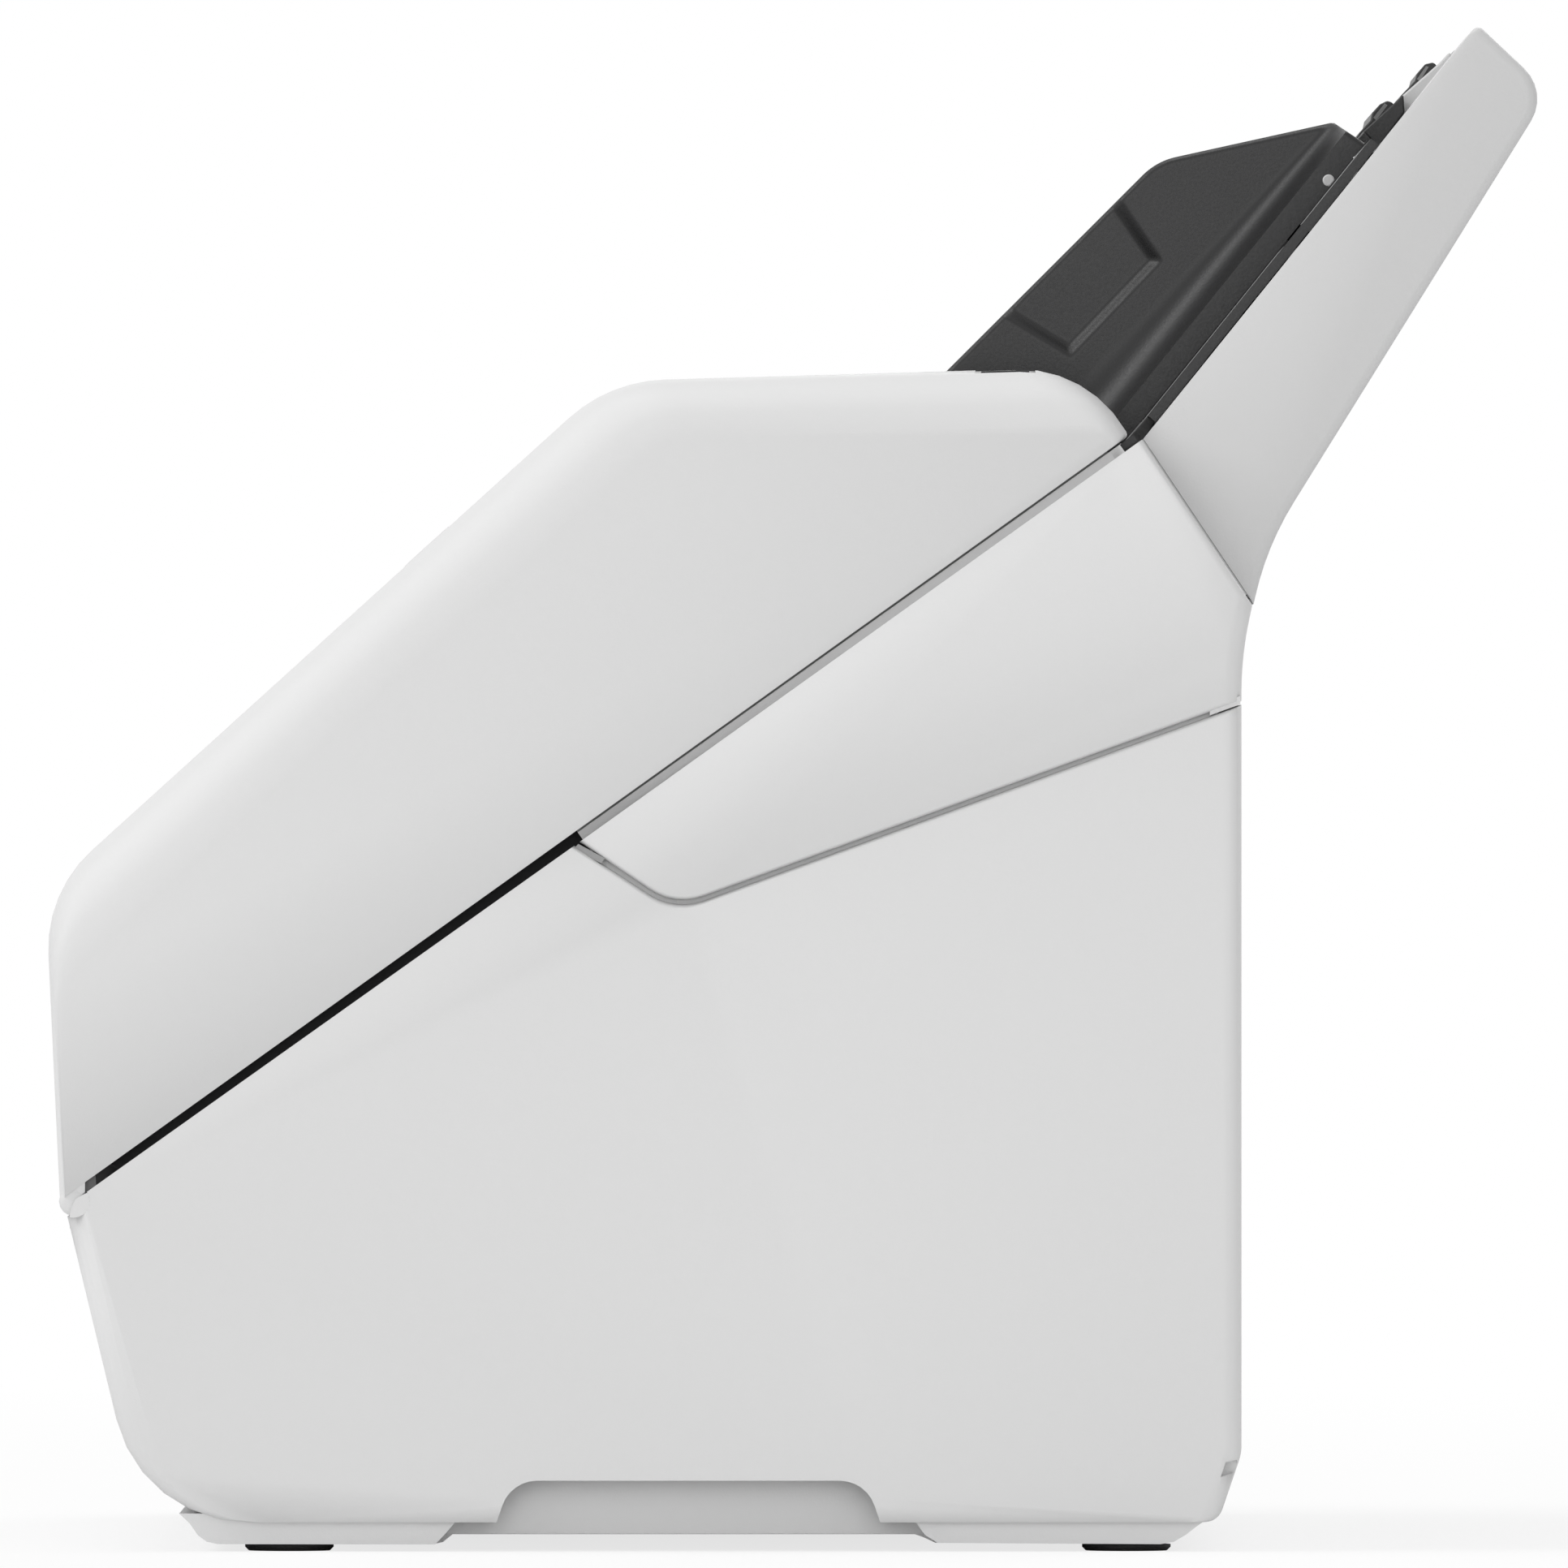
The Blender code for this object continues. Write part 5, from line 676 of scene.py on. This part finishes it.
class SCANNER_OT_paper_tray(bpy.types.Operator):
    """Dresses the paper tray, its bed and its extensions, and shapes their grips"""
    bl_idname = "scanner.paper_tray"
    bl_label = "Paper tray"

    def execute(self, context):
        make_piece("bed_lip", [prism(BED_LIP, -BED_LIP_REACH, BED_LIP_REACH)], "base", "dark",
                   edge=FINE_EDGE)
        rib = TRAY_LINE.strip(BED_RIB_SPAN, BED_RIB_RISE)
        ribs = [prism(rib, x - BED_RIB_WALL, x + BED_RIB_WALL) for x in BED_RIBS]
        make_piece("bed_ribs", ribs, "base", "dark", edge=FINE_EDGE)
        for word, grip, reach, inlay, lip, lip_reach, lip_slot in GRIPS:
            body = word + "_extension"
            make_piece("grip_" + word + "_bar", [prism(grip, -reach, reach)], body, "dark",
                       nodes=("grip_" + word,), edge=GRIP_EDGE)
            inlays = both_sides(inlay, (reach - INLAY_INSET, reach + INLAY_RISE))
            # Painted reflection: the inlays are a mid grey that stands for the sheen seen on the grips
            make_piece("grip_" + word + "_inlays", inlays, body, "dark", finish="shade")
            make_piece("plate_" + word + "_lip", [prism(lip, -lip_reach, lip_reach)], body, lip_slot,
                       edge=LIP_EDGE)
        dress_all(PAPER_TRAY)
        return {"FINISHED"}


def clamped(share):
    return min(max(share, 0.0), 1.0)


def side_distance(place, ends):
    """How far a place lies from a stretch, and how far to the left of the way along it."""
    first, last = ends
    way = last - first
    reach = place - first
    share = clamped(reach.dot(way) / way.length_squared)
    return (reach - way * share).length, (way.x * reach.y - way.y * reach.x) / way.length


def guide_thickness(place, rim, pocket):
    """The guide's wall at a place: flared to its foot, round at its rim, with a finger pocket."""
    first, last = FLARE_RISE
    rise = first + (last - first) * clamped(place.x / GUIDE_CORNERS[1][0])
    share = clamped((GUIDE_RIDGE + rise - place.y) / rise)
    flare = 1 - math.sqrt(1 - (share * math.sin(FLARE_TURN)) ** 2)
    thick = GUIDE_WALL + GUIDE_FLARE * flare / (1 - math.cos(FLARE_TURN))
    inside = min(side_distance(place, ends)[1] for ends in pocket)
    share = clamped(inside / POCKET_LEDGE)
    thick -= POCKET_DEPTH * share * share * (3 - 2 * share)
    away = min(side_distance(place, ends)[0] for ends in rim)
    if away < RIM_ROUND:
        thick -= RIM_ROUND - math.sqrt(RIM_ROUND ** 2 - (RIM_ROUND - away) ** 2)
    return thick


def guide_span(ring, along):
    """The lowest and the highest place of the guide's outline at a distance along the tray."""
    met = []
    for first, last in zip(ring, ring[1:] + ring[:1]):
        if (first.x - along) * (last.x - along) <= 0 and first.x != last.x:
            met.append(first.y + (last.y - first.y) * (along - first.x) / (last.x - first.x))
    return min(met), max(met)


def guide_wall(side):
    """A side guide's wall, laid out in small cells from its foot to its rim."""
    ring = rounded(GUIDE_CORNERS)
    rim = list(zip(ring[1:], ring[2:-1]))
    pocket = [(Vector(first), Vector(last)) for first, last in zip(POCKET, POCKET[1:])]
    first, last = (pick(place.x for place in ring) for pick in (min, max))
    columns = math.ceil((last - first) / GUIDE_CELL)
    low = min(place.y for place in ring)
    rows = math.ceil((max(place.y for place in ring) - low) / GUIDE_CELL)
    solid = bmesh.new()
    made = {}

    def corner(column, row):
        along = first + (last - first) * min(max(column / columns, WELD), 1 - WELD)
        bottom, top = guide_span(ring, along)
        off = low + row * GUIDE_CELL
        key = (column, -1 if off <= bottom else rows + 1 if off >= top else row)
        if key not in made:
            place = Vector((along, min(max(off, bottom), top)))
            made[key] = solid.verts.new((
                side * (GUIDE_FACE + guide_thickness(place, rim, pocket)), *TRAY_LINE.at(*place)))
        return made[key]

    for column in range(columns):
        for row in range(rows + 1):
            around = [corner(column, row), corner(column + 1, row),
                      corner(column + 1, row + 1), corner(column, row + 1)]
            around = [vert for index, vert in enumerate(around) if vert not in around[:index]]
            if len(around) > 2:
                solid.faces.new(around)
    edges = [edge for edge in solid.edges if edge.is_boundary]
    grown = bmesh.ops.extrude_edge_only(solid, edges=edges)["geom"]
    for vert in grown:
        if isinstance(vert, bmesh.types.BMVert):
            vert.co.x = side * GUIDE_FACE
    bmesh.ops.holes_fill(solid, edges=[edge for edge in solid.edges if edge.is_boundary])
    bmesh.ops.recalc_face_normals(solid, faces=solid.faces)
    return solid


def guide_stem(node):
    """The part of a guide that runs under the bed: its stem and its rack."""
    solid = bmesh.new()
    solid.from_mesh(frame["nodes"][node].data)
    bmesh.ops.remove_doubles(solid, verts=solid.verts, dist=WELD)
    place = TRAY_LINE.at(0, GUIDE_CUT)
    bmesh.ops.bisect_plane(
        solid, geom=solid.verts[:] + solid.edges[:] + solid.faces[:], plane_co=(0, *place),
        plane_no=(0, *TRAY_LINE.off), clear_outer=True)
    bmesh.ops.holes_fill(solid, edges=[edge for edge in solid.edges if edge.is_boundary])
    bmesh.ops.recalc_face_normals(solid, faces=solid.faces)
    return solid


def pin_ring():
    """A round pin's outline, cut off just over the bed."""
    middle = Vector(PIN_PLACE)
    ring = []
    for step in range(PIN_SIDES):
        angle = math.tau * step / PIN_SIDES
        along = middle.x + PIN_RADIUS * math.cos(angle)
        off = max(middle.y + PIN_RADIUS * math.sin(angle), GUIDE_CUT)
        if not ring or (ring[-1] - Vector((along, off))).length > WELD:
            ring.append(Vector((along, off)))
    return [TRAY_LINE.at(*place) for place in ring]


class SCANNER_OT_side_guides(bpy.types.Operator):
    """Shapes the side guides over their stems, and dresses their pinion"""
    bl_idname = "scanner.side_guides"
    bl_label = "Side guides"

    def execute(self, context):
        foot = GUIDE_FACE + GUIDE_WALL + GUIDE_FLARE
        for side, word in ((-1, "left"), (1, "right")):
            node = "guide_" + word
            make_piece(node + "_wall", [guide_wall(side), guide_stem(node)], body_of(node), "dark",
                       nodes=(node,))
            ends = sorted((side * (foot - PIN_SINK), side * (foot + PIN_RISE)))
            make_piece(node + "_pin", [prism(pin_ring(), *ends)], body_of(node), "tray", edge=FINE_EDGE)
        dress_all(SIDE_GUIDES)
        return {"FINISHED"}


class SCANNER_OT_paper_path(bpy.types.Operator):
    """Dresses the paper guides and the scan bars"""
    bl_idname = "scanner.paper_path"
    bl_label = "Paper path"

    def execute(self, context):
        dress_all(PAPER_PATH)
        return {"FINISHED"}


class SCANNER_OT_rollers(bpy.types.Operator):
    """Dresses the shafts and the free rollers"""
    bl_idname = "scanner.rollers"
    bl_label = "Rollers"

    def execute(self, context):
        dress_all(ROLLERS)
        return {"FINISHED"}


class SCANNER_OT_drive(bpy.types.Operator):
    """Dresses the motor, the gears, the pulleys and the belt"""
    bl_idname = "scanner.drive"
    bl_label = "Drive"

    def execute(self, context):
        dress_all(DRIVE)
        return {"FINISHED"}


class SCANNER_OT_fittings(bpy.types.Operator):
    """Dresses the feet, the sockets, the board and the hinge pins"""
    bl_idname = "scanner.fittings"
    bl_label = "Feet, sockets and pins"

    def execute(self, context):
        dress_all(FITTINGS)
        return {"FINISHED"}


def floor_finish():
    """A pale floor that reads near white, and still takes the scanner's shadow."""
    finish = Finish("studio_floor")
    finish.set(Base_Color=(*FLOOR, 1), Roughness=0.9, Specular_IOR_Level=0.1)
    lit = finish.node("Emission", Color=(1, 1, 1, 1), Strength=1.0)
    seen = finish.node("LightPath")
    away = finish.node("VectorMath", {"operation": "LENGTH"}, 1, Vector=finish.place)
    share = FLOOR_NEAR_SHARE + (away * (1 / FLOOR_FADE)).clipped() * (1 - FLOOR_NEAR_SHARE)
    mixed = finish.node("MixShader", _0=seen * share, _1=Value(finish.tree, finish.shader.outputs[0]), _2=lit)
    finish.tree.links.new(mixed.socket, finish.tree.nodes["Material Output"].inputs["Surface"])
    return finish.material


def add_lamp(name, place, size, power):
    """A square lamp that looks at the scanner's middle."""
    lamp = bpy.data.lights.new(name, "AREA")
    lamp.shape = "SQUARE"
    lamp.size = size
    lamp.energy = power
    made = new_object(name, lamp)
    made.location = place
    made.rotation_euler = (Vector(LAMP_AIM) - Vector(place)).to_track_quat("-Z", "Y").to_euler()


class Growth:
    """A geometry node tree with named inputs, whose result is taken as a plain mesh."""

    def __init__(self, name, inputs):
        self.tree = bpy.data.node_groups.new(name, "GeometryNodeTree")
        self.tree.interface.new_socket("Geometry", in_out="INPUT", socket_type="NodeSocketGeometry")
        self.tree.interface.new_socket("Geometry", in_out="OUTPUT", socket_type="NodeSocketGeometry")
        self.sockets = {}
        for label, kind in inputs + (("Material", "Material"),):
            made = self.tree.interface.new_socket(label, in_out="INPUT", socket_type="NodeSocket" + kind)
            self.sockets[label] = made.identifier
        self.entry = self.tree.nodes.new("NodeGroupInput")
        self.exit = self.tree.nodes.new("NodeGroupOutput")

    def value(self, label):
        return self.entry.outputs[label]

    def node(self, kind, settings=(), **inputs):
        made = self.tree.nodes.new(kind)
        for key, setting in dict(settings).items():
            setattr(made, key, setting)
        for label, given in inputs.items():
            for one in given if isinstance(given, list) else [given]:
                self.join(one, made.inputs[label.replace("_", " ")])
        return made

    def join(self, given, socket):
        if isinstance(given, bpy.types.NodeSocket):
            self.tree.links.new(given, socket)
        else:
            socket.default_value = given

    def math(self, operation, first, second):
        made = self.node("ShaderNodeMath", {"operation": operation})
        self.join(first, made.inputs[0])
        self.join(second, made.inputs[1])
        return made.outputs[0]

    def finish(self, geometry):
        real = self.node("GeometryNodeRealizeInstances", Geometry=geometry)
        coat = self.node("GeometryNodeSetMaterial", Geometry=real.outputs[0], Material=self.value("Material"))
        self.tree.links.new(coat.outputs[0], self.exit.inputs[0])

    def mesh(self, name, material, **values):
        source = new_object(name + "_seed", bpy.data.meshes.new(name + "_seed"))
        grow = source.modifiers.new("grow", "NODES")
        grow.node_group = self.tree
        for label, value in values.items():
            grow[self.sockets[label]] = value
        grow[self.sockets["Material"]] = material
        bpy.context.view_layer.update()
        graph = bpy.context.evaluated_depsgraph_get()
        mesh = bpy.data.meshes.new_from_object(source.evaluated_get(graph))
        source.modifiers.remove(grow)
        bpy.data.objects.remove(source)
        mesh.name = name
        return mesh


def tread_growth():
    """A core with ribs along it all round, about the X axis."""
    growth = Growth("tyre_tread", (("Ribs", "Int"), ("Radius", "Float"), ("Length", "Float"),
                                   ("Groove", "Float"), ("Middle", "Vector")))
    floor = growth.math("SUBTRACT", growth.value("Radius"), growth.value("Groove"))
    core = growth.node("GeometryNodeMeshCylinder", Vertices=TREAD_SIDES, Radius=floor,
                       Depth=growth.value("Length"))
    ring = growth.node("GeometryNodeMeshCircle", Vertices=growth.value("Ribs"), Radius=floor)
    wide = growth.math("DIVIDE", growth.math("MULTIPLY", floor, TREAD_RIB_WIDTH), growth.value("Ribs"))
    deep = growth.math("MULTIPLY", growth.value("Groove"), TREAD_RIB_DEPTH)
    size = growth.node("ShaderNodeCombineXYZ", X=deep, Y=wide, Z=growth.value("Length"))
    rib = growth.node("GeometryNodeMeshCube", Size=size.outputs[0])
    place = growth.node("GeometryNodeInputPosition")
    turn = growth.node("FunctionNodeAlignRotationToVector", {"axis": "X"}, Vector=place.outputs[0])
    ribs = growth.node("GeometryNodeInstanceOnPoints", Points=ring.outputs[0], Instance=rib.outputs[0],
                       Rotation=turn.outputs[0])
    both = growth.node("GeometryNodeJoinGeometry", Geometry=[core.outputs[0], ribs.outputs[0]])
    laid = growth.node("GeometryNodeTransform", Geometry=both.outputs[0], Rotation=(0.0, math.pi / 2, 0.0),
                       Translation=growth.value("Middle"))
    growth.finish(laid.outputs[0])
    return growth


def screw_growth():
    """Low, tapered screw heads on a grid of places."""
    growth = Growth("pan_screws", (("Across", "Int"), ("Along", "Int"), ("Width", "Float"),
                                   ("Depth", "Float"), ("Radius", "Float"), ("Middle", "Vector")))
    grid = growth.node("GeometryNodeMeshGrid", Vertices_X=growth.value("Across"),
                       Vertices_Y=growth.value("Along"), Size_X=growth.value("Width"),
                       Size_Y=growth.value("Depth"))
    head = growth.node("GeometryNodeMeshCone", Vertices=SCREW_SIDES, Radius_Top=growth.value("Radius"),
                       Radius_Bottom=growth.math("MULTIPLY", growth.value("Radius"), SCREW_TAPER),
                       Depth=SCREW_RISE)
    screws = growth.node("GeometryNodeInstanceOnPoints", Points=grid.outputs[0], Instance=head.outputs[0])
    laid = growth.node("GeometryNodeTransform", Geometry=screws.outputs[0],
                       Translation=growth.value("Middle"))
    growth.finish(laid.outputs[0])
    return growth


def board_growth():
    """Flat parts of mixed sizes on the board's face, from one seed."""
    growth = Growth("board_parts", (("Across", "Int"), ("Up", "Int"), ("Width", "Float"),
                                    ("Height", "Float"), ("Seed", "Int"), ("Middle", "Vector")))
    grid = growth.node("GeometryNodeMeshGrid", Vertices_X=growth.value("Across"),
                       Vertices_Y=growth.value("Up"), Size_X=growth.value("Width"),
                       Size_Y=growth.value("Height"))
    chip = growth.node("GeometryNodeMeshCube", Size=BOARD_PART_SIZE)
    mixed = growth.node("FunctionNodeRandomValue", {"data_type": "FLOAT_VECTOR"},
                        Seed=growth.value("Seed"))
    for socket, shares in zip(mixed.inputs, BOARD_PART_SHARES):
        growth.join(shares, socket)
    chips = growth.node("GeometryNodeInstanceOnPoints", Points=grid.outputs[0], Instance=chip.outputs[0],
                        Scale=mixed.outputs[0])
    laid = growth.node("GeometryNodeTransform", Geometry=chips.outputs[0],
                       Rotation=(math.pi / 2, 0.0, 0.0), Translation=growth.value("Middle"))
    growth.finish(laid.outputs[0])
    return growth


class SCANNER_OT_small_parts(bpy.types.Operator):
    """Grows the tyres' treads, the screws under the pan and the parts on the board"""
    bl_idname = "scanner.small_parts"
    bl_label = "Small parts"

    def execute(self, context):
        treads = tread_growth()
        for node, ribs in TREADS:
            low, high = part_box(node)
            mesh = treads.mesh(node + "_tread", finish_of("rubber"), Ribs=ribs, Radius=(high.z - low.z) / 2,
                               Length=high.x - low.x, Groove=TREAD_GROOVE, Middle=(low + high) / 2)
            piece = new_object(node + "_tread", mesh)
            join_body(piece, body_of(node), "rubber")
            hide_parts(node)
        mesh = screw_growth().mesh("pan_screws", finish_of("steel"), **SCREWS)
        join_body(new_object("pan_screws", mesh), "base", "steel")
        mesh = board_growth().mesh("board_parts", finish_of("dark"), **BOARD_PARTS)
        join_body(new_object("board_parts", mesh), "base", "dark")
        return {"FINISHED"}


class SCANNER_OT_studio(bpy.types.Operator):
    """Sets the floor, the light and the camera"""
    bl_idname = "scanner.studio"
    bl_label = "Studio"

    def execute(self, context):
        reach = context.scene.scanner_sizes.floor_reach
        mesh = bpy.data.meshes.new("floor")
        mesh.from_pydata([(-reach, -reach, 0), (reach, -reach, 0), (reach, reach, 0), (-reach, reach, 0)],
                         [], [(0, 1, 2, 3)])
        mesh.materials.append(floor_finish())
        new_object("studio_floor", mesh)

        world = bpy.data.worlds.new("studio_world")
        context.scene.world = world
        world.use_nodes = True
        tree = world.node_tree
        soft = tree.nodes["Background"]
        soft.inputs["Color"].default_value = (1, 1, 1, 1)
        soft.inputs["Strength"].default_value = WORLD_STRENGTH
        white = tree.nodes.new("ShaderNodeBackground")
        white.inputs["Color"].default_value = (1, 1, 1, 1)
        seen = tree.nodes.new("ShaderNodeLightPath")
        mixed = tree.nodes.new("ShaderNodeMixShader")
        share = seen.outputs["Is Camera Ray"]
        for ray in ("Is Glossy Ray", "Is Transmission Ray"):
            either = tree.nodes.new("ShaderNodeMath")
            either.operation = "MAXIMUM"
            tree.links.new(share, either.inputs[0])
            tree.links.new(seen.outputs[ray], either.inputs[1])
            share = either.outputs[0]
        tree.links.new(share, mixed.inputs[0])
        tree.links.new(soft.outputs[0], mixed.inputs[1])
        tree.links.new(white.outputs[0], mixed.inputs[2])
        tree.links.new(mixed.outputs[0], tree.nodes["World Output"].inputs["Surface"])

        for lamp in LAMPS:
            add_lamp(*lamp)

        lens = bpy.data.cameras.new("photo_camera")
        lens.sensor_width = SENSOR * 1000
        wide = PHOTO_PIXELS * PIXEL
        lens.lens = SENSOR * 1000 * CAMERA_DISTANCE / wide
        lens.clip_end = CAMERA_CLIP
        lens.dof.use_dof = False
        camera = new_object("photo_camera", lens)
        middle = PHOTO_PIXELS / 2
        camera.location = (
            CAD_BOUNDS[1][0] + CAMERA_DISTANCE,
            (middle - MIDDLE_PIXELS[0]) * PIXEL,
            (MIDDLE_PIXELS[1] - middle) * PIXEL,
        )
        camera.rotation_euler = (math.pi / 2, 0, math.pi / 2)
        context.scene.camera = camera
        context.scene.view_settings.view_transform = "Standard"
        return {"FINISHED"}


STEPS = (
    SCANNER_OT_studio, SCANNER_OT_outer_case, SCANNER_OT_hatch_shell, SCANNER_OT_paper_tray,
    SCANNER_OT_side_guides, SCANNER_OT_paper_path, SCANNER_OT_rollers, SCANNER_OT_drive,
    SCANNER_OT_fittings, SCANNER_OT_small_parts,
)


class SCANNER_PT_panel(bpy.types.Panel):
    bl_label = "Scanner"
    bl_space_type = "VIEW_3D"
    bl_region_type = "UI"
    bl_category = "Scanner"

    def draw(self, context):
        for key in ("case", "tray", "charcoal"):
            self.layout.prop(context.scene.scanner_colours, key)
        self.layout.prop(context.scene.scanner_sizes, "floor_reach")
        for step in STEPS:
            self.layout.operator(step.bl_idname)


CLASSES = (ScannerColours, ScannerSizes, *STEPS, SCANNER_PT_panel)


def register():
    for made in CLASSES:
        bpy.utils.register_class(made)
    bpy.types.Scene.scanner_colours = bpy.props.PointerProperty(type=ScannerColours)
    bpy.types.Scene.scanner_sizes = bpy.props.PointerProperty(type=ScannerSizes)


def unregister():
    del bpy.types.Scene.scanner_sizes
    del bpy.types.Scene.scanner_colours
    for made in reversed(CLASSES):
        bpy.utils.unregister_class(made)


def main():
    register()
    for step in STEPS:
        group, name = step.bl_idname.split(".")
        getattr(getattr(bpy.ops, group), name)()


if __name__ == "__main__":
    main()
